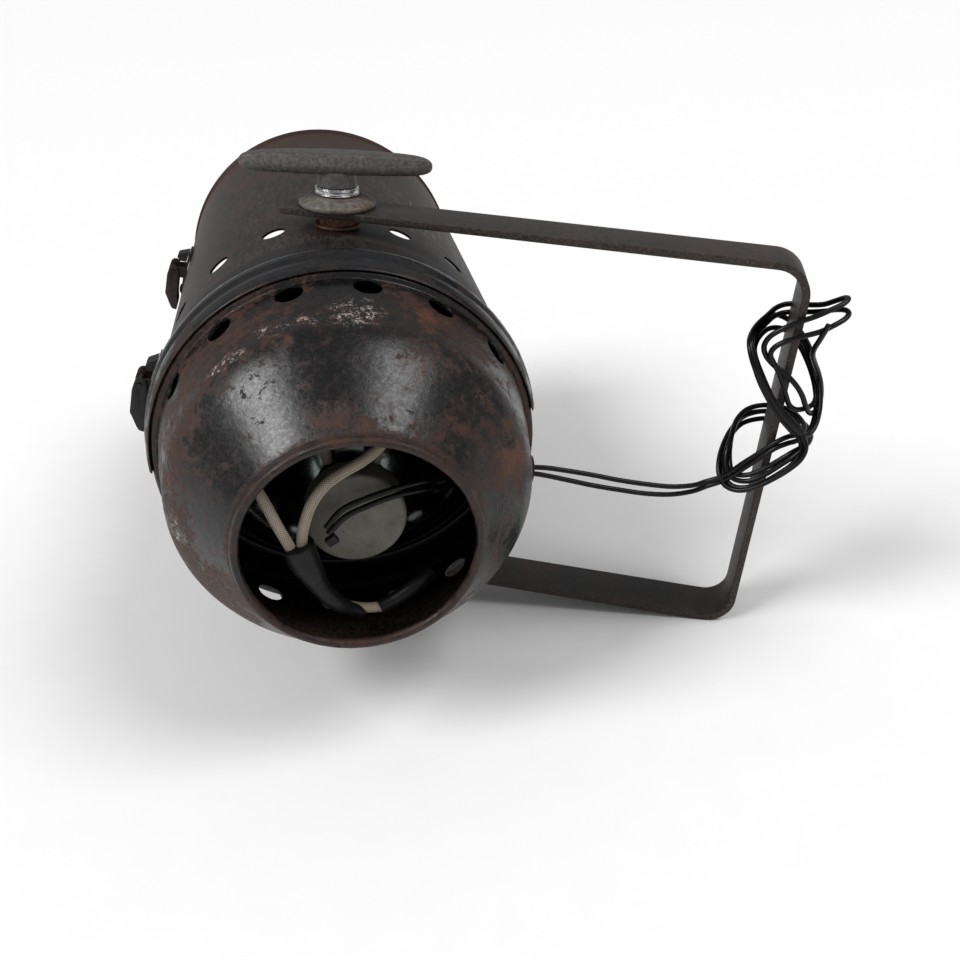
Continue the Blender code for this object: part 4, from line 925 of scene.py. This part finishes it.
def rear_housing():
    outer = [
        (-57.2, 97.4), (-58.6, 98.8), (-60.6, 99.7), (-70.6, 99.8), (-72.4, 98.6),
        (-73.0, 96.3), (-74.6, 95.8), (-106, 90.9), (-117, 89.2), (-125.5, 84.0),
        (-157.2, 58.4), (-157.9, 57.3),
    ]
    lip = [
        (-159.0, 57.5), (-160.9, 56.6), (-161.4, 55.2), (-160.9, 53.7), (-159.2, 52.9),
        (-157.4, 53.2), (-156.6, 55.0),
    ]
    inner = [(-156.2, 57.3), (-124.6, 83.0), (-116.4, 88.0), (-105.8, 89.7), (-74.0, 94.6),
             (-71.6, 95.6), (-71.0, 98.2), (-60.8, 98.4), (-59.4, 97.8), (-57.6, 96.5)]
    radii = [0.4, 0.8, 0.8, 1.0, 1.0, 1.0, 0.8, 10, 8, 9, 1.2, 0.4]
    radii += [0.7] * len(lip) + [1.0, 8, 7, 9, 0.8, 1.0, 1.0, 0.8, 0.6, 0.4]
    outline = rounded(outer + lip + inner, radii, 6)
    bm = lathe(dense(outline, 5), TUBE_SIDES)
    obj = finish_mesh("rear_housing_shell", bm, ["housing", "inside"], REST, "housing",
                      ("rear_housing",), angle=50)
    whole = obj.data.copy()
    cut(obj, round_cuts(HOUSING_VENTS, 7.0, -79.7, 93, 16))
    smooth_like(obj, whole)
    mark_inside(obj, lambda c, n: faces_axis(c, n) and c.y > -157.4, INNER)


def joint_band():
    outer = [
        (-49.9, 100.9), (-50.2, 102.8), (-51.4, 103.9), (-54.0, 104.2), (-57.4, 103.9),
        (-59.9, 102.8), (-61.0, 102.2), (-62.2, 102.7), (-66.0, 102.5), (-70.2, 101.6),
        (-72.4, 100.6), (-72.6, 99.9),
    ]
    inner = [(-71.6, 99.95), (-62.4, 100.1), (-60.8, 100.3),
             (-57.2, 100.6), (-54.0, 101.8), (-52.0, 101.8), (-51.2, 101.7), (-50.9, 100.7)]
    outline = rounded(outer + inner, 0.6, 4)
    bm = lathe(outline, TUBE_SIDES, start=math.radians(-94), end=math.radians(77))
    finish_mesh("joint_band_strap", bm, "band", REST, "housing",
                ("joint_band",), angle=50)


front_tube()
rear_housing()
joint_band()

# ---------------------------------------------------------------- yoke

ARM_INNER, YOKE_THICK, YOKE_WIDTH = 107.1, 3.9, 28.7
CROSSBAR_INNER, ARM_END, BEND_R = 242.6, -26.8, 18.0


def yoke():
    steps = 16
    outer_z, outer_u = ARM_INNER + YOKE_THICK, CROSSBAR_INNER + YOKE_THICK

    def side(radius, z_face):
        points = [(ARM_END, z_face)]
        points += [(ARM_END + (outer_u - BEND_R - ARM_END) * k / 12, z_face)
                   for k in range(1, 12)]
        for i in range(steps + 1):
            a = math.pi / 2 * i / steps
            points.append((outer_u - BEND_R + radius * math.sin(a),
                           outer_z - BEND_R + radius * math.cos(a)))
        top = points[-1]
        points += [(top[0], top[1] * (1 - k / 6)) for k in range(1, 6)]
        return points + [(top[0], 0)] + [(u, -z) for u, z in points[::-1]]

    outline = side(BEND_R, outer_z) + side(BEND_R - YOKE_THICK, ARM_INNER)[::-1]
    half = YOKE_WIDTH / 2
    obj = finish_mesh("yoke_bar", extrude(outline, -half, half), ["yoke", "yoke_edge"],
                      YOKE_REST, "yoke", ("yoke",), angle=30)
    holes = bmesh.new()
    bmesh.ops.create_cone(holes, cap_ends=True, segments=40, radius1=6.3 * MM,
                          radius2=6.3 * MM, depth=0.26)
    cut(obj, holes)
    soften(obj, 0.55, 3, 50)
    mark_inside(obj, lambda c, n: abs(c.y) > half - 0.6, 1)


yoke()

# ---------------------------------------------------------------- pivot hardware


def pivot_hardware(side, place, handle_place):
    washer_low = 111.3
    stud = rounded([(93.4, 0), (93.4, 9.6), (98.1, 10), (98.1, 6.0), (131, 6.0), (131, 0)],
                   [0, 1.2, 0.6, 0.2, 0.5, 0], 3)
    finish_mesh(f"{side}_stud_bolt", lathe(stud, 48, "Z"), "bright", place, "housing",
                (f"{side}_stud",))
    seat = rounded([(100.4, 12), (101.8, 12), (101.8, 6.3), (100.4, 6.3)], 0.35, 2)
    finish_mesh(f"{side}_seat_ring", lathe(seat, 64, "Z"), "rust", place, "housing",
                (f"{side}_seat_washer",))

    block = [(102.1, 0), (102.1, 10.97), (106.8, 10.97), (106.8, 0)]
    nut = finish_mesh(f"{side}_hex_nut", lathe(block, 6, "Z"), "rust", place, "housing",
                      (f"{side}_nut",), smooth=False)
    cone = lathe([(101, 0), (101, 9.9), (102.1, 10.1), (103.2, 12), (105.7, 12),
                  (106.8, 10.1), (107.9, 9.0), (107.9, 0)], 64, "Z")
    cut(nut, cone, "INTERSECT")
    cut(nut, lathe([(90, 0), (90, 6.3), (110, 6.3), (110, 0)], 48, "Z"))
    soften(nut, 0.35, 2, 28)

    cup = [
        (washer_low, 17.8), (washer_low, 19.9), (112.2, 20.3), (113.6, 20.1), (114.3, 18.9),
        (116.2, 15.2), (117.0, 13.0), (117.0, 6.3), (115.2, 6.3), (115.1, 11.6),
        (113.4, 14.8), (112.0, 17.2),
    ]
    cup = rounded(cup, [0.3, 0.7, 0.8, 0.8, 1.0, 1.2, 0.8, 0.3, 0.3, 1, 1, 0.5], 4)
    finish_mesh(f"{side}_dished_washer", lathe(cup, 96, "Z"), "cup", place, "yoke",
                (f"{side}_cup_washer",), angle=50)

    ring = [(117.3, 6.3), (117.3, 10.9), (117.5, 11.6), (118.0, 11.6), (118.2, 10.9),
            (119.7, 10.9), (119.9, 11.5), (120.4, 11.5), (120.6, 10.9), (121.2, 10.8),
            (121.2, 6.3)]
    finish_mesh(f"{side}_bright_rings", lathe(rounded(ring, 0.15, 3), 96, "Z"), "bright",
                place, f"{side}_collar", (f"{side}_collar",), angle=50)
    t_handle(side, handle_place)


# Half of the handle's section at its middle: across and up from the beam axis
HANDLE_SECTION = [
    (0, 138.6), (5.8, 138.5), (7.3, 137.9), (9.5, 132.9), (9.6, 131.6), (9.1, 129.6),
    (7.8, 128.2), (5.4, 127.8), (2.6, 127.8), (0, 127.8),
]
HANDLE_HALF, HANDLE_MID = 49.8, 133.0


def t_handle(side, place):
    """A cast cleat-shaped bar: a flat boat-shaped top, steep sides and blunt rounded ends."""
    half = rounded(HANDLE_SECTION, [0, 1, 0.5, 0.8, 0.8, 1.0, 1.0, 1, 1, 0], 3, False)
    ring = [(p.x, p.y) for p in half] + [(-p.x, p.y) for p in half[-2:0:-1]]
    stations = 57
    bm = bmesh.new()
    rows = []
    for i in range(1, stations - 1):
        t = math.sin((-1 + 2 * i / (stations - 1)) * math.pi / 2)
        far = abs(t)
        end = math.sqrt(max(0.0, 1 - far ** 12))
        across = (1 - 0.42 * far ** 1.6) * end
        up = (1 - 0.22 * far ** 2) * end ** 0.8
        drop = -0.7 * far ** 2
        rows.append([
            bm.verts.new(Vector((HANDLE_HALF * t, x * across,
                                 HANDLE_MID + drop + (z - HANDLE_MID) * up)) * MM)
            for x, z in ring
        ])
    drop = HANDLE_MID - 0.7
    first = bm.verts.new(Vector((-HANDLE_HALF, 0, drop)) * MM)
    last = bm.verts.new(Vector((HANDLE_HALF, 0, drop)) * MM)
    for one, two in zip(rows, rows[1:]):
        bridge(bm, one, two)
    for k in range(len(ring)):
        m = (k + 1) % len(ring)
        bm.faces.new((first, rows[0][m], rows[0][k]))
        bm.faces.new((last, rows[-1][k], rows[-1][m]))
    obj = finish_mesh(f"{side}_cast_handle", bm, "cast", place, f"{side}_handle",
                      (f"{side}_handle",), angle=60)
    hub = rounded([(121.5, 0), (121.5, 10.5), (125, 10.1), (129, 9.6), (134, 0)],
                  [0, 0.3, 1, 0.8, 0], 5)
    cut(obj, lathe(hub, 64, "Z"), "UNION")
    cut(obj, lathe([(118, 0), (118, 6.3), (131.3, 6.3), (131.3, 0)], 48, "Z"))
    obj.data.shade_smooth()
    obj.data.set_sharp_from_angle(angle=math.radians(42))


pivot_hardware("top", REST, REST @ Matrix.Rotation(math.radians(-4.6), 4, "Z"))
pivot_hardware("bottom", LOWER, LOWER @ Matrix.Rotation(math.pi / 2 - YOKE_TURN, 4, "Z"))

# ---------------------------------------------------------------- lamp and lampholder

LAMP_R = 88.5


def lamp():
    rim, back = -33.0, -112.0
    front = [(rim + 7 * (1 - t * t), 87 * t) for t in [k / 14 for k in range(15)]]
    lens = front + [(y - 3, r) for y, r in front[::-1]]
    finish_mesh("lamp_front_glass", lathe(lens, 144), "glass", REST, "housing",
                ("lamp_lens",), angle=50)
    bowl = []
    for k in range(25):
        y = -39.5 + (back + 8 + 39.5) * k / 24
        bowl.append((y, 86 * math.sqrt((y - back) / (-39.5 - back))))
    outline = [(-36.3, LAMP_R), (-38.9, LAMP_R), (-39.5, LAMP_R - 0.8)] + bowl
    outline += [(back + 5, 19), (back + 0.8, 19), (back, 18.2), (back, 0), (back + 11, 0)]
    outline += [(y + 0.6, r - 2.5) for y, r in bowl[::-1]] + [(-36.3, 83.5)]
    finish_mesh("lamp_silvered_bowl", lathe(outline, 144), "mirror", REST, "housing",
                ("lamp_reflector",), angle=40)


def lampholder():
    outline = rounded([(-119.5, 0), (-119.5, 23), (-120.5, 24), (-133.8, 24), (-135, 22.8),
                       (-135, 0)], [0, 0.8, 0.8, 0.9, 0.9, 0], 4)
    obj = finish_mesh("ceramic_block", lathe(outline, 96), "ceramic", REST, "housing",
                      ("lampholder",), angle=50)
    pockets = bmesh.new()
    for x in (-6, 6):
        lathe([(-118, 0), (-118, 2.5), (-126.8, 2.5), (-126.8, 0)], 24, bm=pockets,
              centre=(x, 0, 0))
    cut(obj, pockets)
    obj.data.set_sharp_from_angle(angle=math.radians(50))


lamp()
lampholder()

# ---------------------------------------------------------------- leads inside

SLEEVE_RIGHT = [
    (10, -117.5, 20), (13, -117, 32), (15.5, -120, 43), (15, -128, 47),
    (12, -136, 41.5), (4.5, -140, 36), (-7.1, -143.5, 30.5), (-14.4, -146, 26.2),
    (-20.8, -147.5, 17.4), (-24.6, -148.5, 6), (-26, -149, -4.5),
]
SLEEVE_LEFT = [
    (-12, -113.5, 19), (-15, -112.5, 33), (-25, -116, 47), (-38, -124, 53), (-49, -132, 48),
    (-50, -140, 36), (-42, -146, 21), (-36, -148.6, 7.5), (-30.8, -150.2, -3.6),
]
SPLICE = [
    (-27.5, -149.6, -3.0), (-25.4, -150.2, -10), (-22, -150.6, -18), (-17.4, -150, -28),
    (-11.2, -148, -37.5), (-4.4, -145, -44.5), (2.5, -143.4, -48.6),
]
TAIL_BRAID = [(-8.5, -141.0, -44.6), (-2.5, -142.0, -46.2), (4.5, -142.8, -46.8), (12, -143, -46.6)]
TAIL_SLEEVE = [(10.6, -143, -46.6), (17.4, -142, -43.6), (24.5, -141, -39.2), (31, -138.4, -36),
               (36.5, -134.5, -34)]
INSIDE_UPPER = [
    (-14.6, -144.6, 2.6), (-7.6, -143.4, 10.8), (2, -142.2, 15.2), (16, -139.4, 18.4),
    (31, -136, 20), (44, -130, 18), (58, -120.5, 12), (70, -108.5, 5), (80, -93.5, -2.6),
    (85.6, -82.4, -7), (88.9, -79.7, -7.8),
]
INSIDE_LOWER = [
    (-13.6, -144.6, -0.6), (-5.8, -143.4, 7.2), (4, -142.2, 11.6), (17, -139.4, 14.8),
    (31, -136.2, 15.6), (43.5, -130.2, 13.4), (57, -120.7, 7.6), (69, -108.7, 1),
    (79, -93.7, -6), (85, -82.6, -10), (88.5, -79.7, -10.7),
]


def inner_lead(name, route, radius, look, node, sides=20, spacing=1.5):
    points = smooth_route(in_mm(route), spacing * MM)
    size = radius if callable(radius) else radius * MM
    return finish_mesh(name, tube_mesh(points, size, sides), look, REST, "housing",
                       (node,), angle=60)


inner_lead("braid_right", SLEEVE_RIGHT, 2.6, "braid", "sleeve_right", 36, 0.8)
inner_lead("braid_left", SLEEVE_LEFT, 2.6, "braid", "sleeve_left", 36, 0.8)
inner_lead("braid_tail", TAIL_BRAID, 2.6, "braid", "tail_braid", 36, 0.8)
inner_lead("shrink_splice", SPLICE,
           lambda t: (7.6 - 4.4 * min(1, t * 1.2) + 0.4 * math.sin(11 * t)) * MM,
           "heatshrink", "splice_sleeve", 28)
inner_lead("shrink_tail", TAIL_SLEEVE, 3.6, "heatshrink", "tail_sleeve", 24)
inner_lead("inner_wire_upper", INSIDE_UPPER, 1.4, "wire",
           "wire_inside_upper", 16)
inner_lead("inner_wire_lower", INSIDE_LOWER, 1.4, "wire",
           "wire_inside_lower", 16)

# ---------------------------------------------------------------- clasp levers

CLASP_ANGLE, CLASP_WIDTH = -77.5, 15.6
CLASP_REAR = {"rear": -48.8, "front": 128.0}
# A lever's side from its head round the back to its tip: toward the top, and out from r 100
LEVER_BACK = [
    (11.2, 5.6), (12.4, 7.4), (12.1, 9.6), (10.4, 11.0), (5.4, 11.9), (-8.0, 11.7),
    (-9.8, 10.6), (-15.8, 7.6), (-17.8, 6.2), (-18.2, 3.2), (-15.0, 3.0), (-9, 3.9),
    (0, 4.2), (5.5, 4.2),
]
LEVER_HOLLOW = [
    (14, 1.0), (14, 14), (4.0, 14), (4.0, 10.5), (-7.6, 10.4), (-9.0, 9.5), (-14.4, 6.8),
    (-15.0, 1.0),
]


def on_clasp(points):
    """Places on a clasp, given toward the top and out from the tube, as (x, z)."""
    middle = math.radians(CLASP_ANGLE)
    n = (math.sin(middle), math.cos(middle))
    return [((100 + h) * n[0] + t * n[1], (100 + h) * n[1] - t * n[0]) for t, h in points]


def clasp_levers():
    for side, rear in CLASP_REAR.items():
        front = rear + CLASP_WIDTH
        outline = rounded(on_clasp(LEVER_BACK), 0.7, 3)
        obj = finish_mesh(f"{side}_latch_lever", extrude(outline, rear, front), "clasp", REST,
                          f"{side}_clasp_lever", (f"{side}_clasp_lever",))
        cut(obj, extrude(on_clasp(LEVER_HOLLOW), rear + 1.3, front - 1.3))
        pin_at = on_clasp([(8.0, 8.6)])[0]
        ring = [(pin_at[0] + 1.4 * math.cos(math.pi * k / 12),
                 pin_at[1] + 1.4 * math.sin(math.pi * k / 12)) for k in range(24)]
        cut(obj, extrude(ring, rear - 2, front + 2))
        soften(obj, 0.3, 2, 40)


clasp_levers()

# ---------------------------------------------------------------- CAD pieces that stay

NODE_LOOKS = {
    "cable_grommet": "rubber", "cable_tie": "heatshrink",
    "lamp_contact_left": "bright", "lamp_contact_right": "bright",
    "lamp_seat_ring": "inside", "lamp_spring_ring": "inside",
}
for end in ("front", "rear"):
    NODE_LOOKS[f"{end}_clasp_foot"] = "clasp"
    NODE_LOOKS[f"{end}_clasp_keeper"] = "clasp"
    NODE_LOOKS[f"{end}_clasp_pin"] = "clasp"
    NODE_LOOKS[f"{end}_clasp_rivet_upper"] = "clasp"
    NODE_LOOKS[f"{end}_clasp_rivet_lower"] = "clasp"
for node, look in NODE_LOOKS.items():
    for place in frame["nodes"][node].material_slots:
        place.link = "OBJECT"
        place.material = LOOKS[look]

# ---------------------------------------------------------------- floor and light


def floor():
    look = Look("floor_white", (0.82, 0.82, 0.82), 0.7)
    grain = look.noise(40, 3, 0.5)
    colour = look.mix(grain, (0.90, 0.90, 0.90), (0.93, 0.93, 0.93))
    look.done(colour)
    LOOKS["floor"] = look.material
    bm = bmesh.new()
    bmesh.ops.create_grid(bm, x_segments=2, y_segments=2, size=60)
    made = finish_mesh("floor", bm, "floor", Matrix.Identity(4), None)


def soft_sun(name, toward, angle, strength):
    """A broad even light from far away, as a softbox gives."""
    data = bpy.data.lights.new(name, "SUN")
    data.angle = math.radians(angle)
    data.energy = strength
    made = bpy.data.objects.new(name, data)
    bpy.context.collection.objects.link(made)
    made.rotation_euler = Vector(toward).to_track_quat("Z", "Y").to_euler()


def lights():
    """Two soft lights from above, left and right, and a dim room round them."""
    soft_sun("softbox_left", (-0.66, -0.20, 0.72), 26, 1.9)
    soft_sun("softbox_right", (0.52, -0.26, 0.81), 26, 1.15)
    world = bpy.data.worlds.new("studio")
    world.use_nodes = True
    background = world.node_tree.nodes["Background"]
    background.inputs["Color"].default_value = (1, 1, 1, 1)
    background.inputs["Strength"].default_value = 0.40
    bpy.context.scene.world = world
    bpy.context.scene.view_settings.view_transform = "Standard"
    bpy.context.scene.view_settings.gamma = 0.9


floor()
lights()
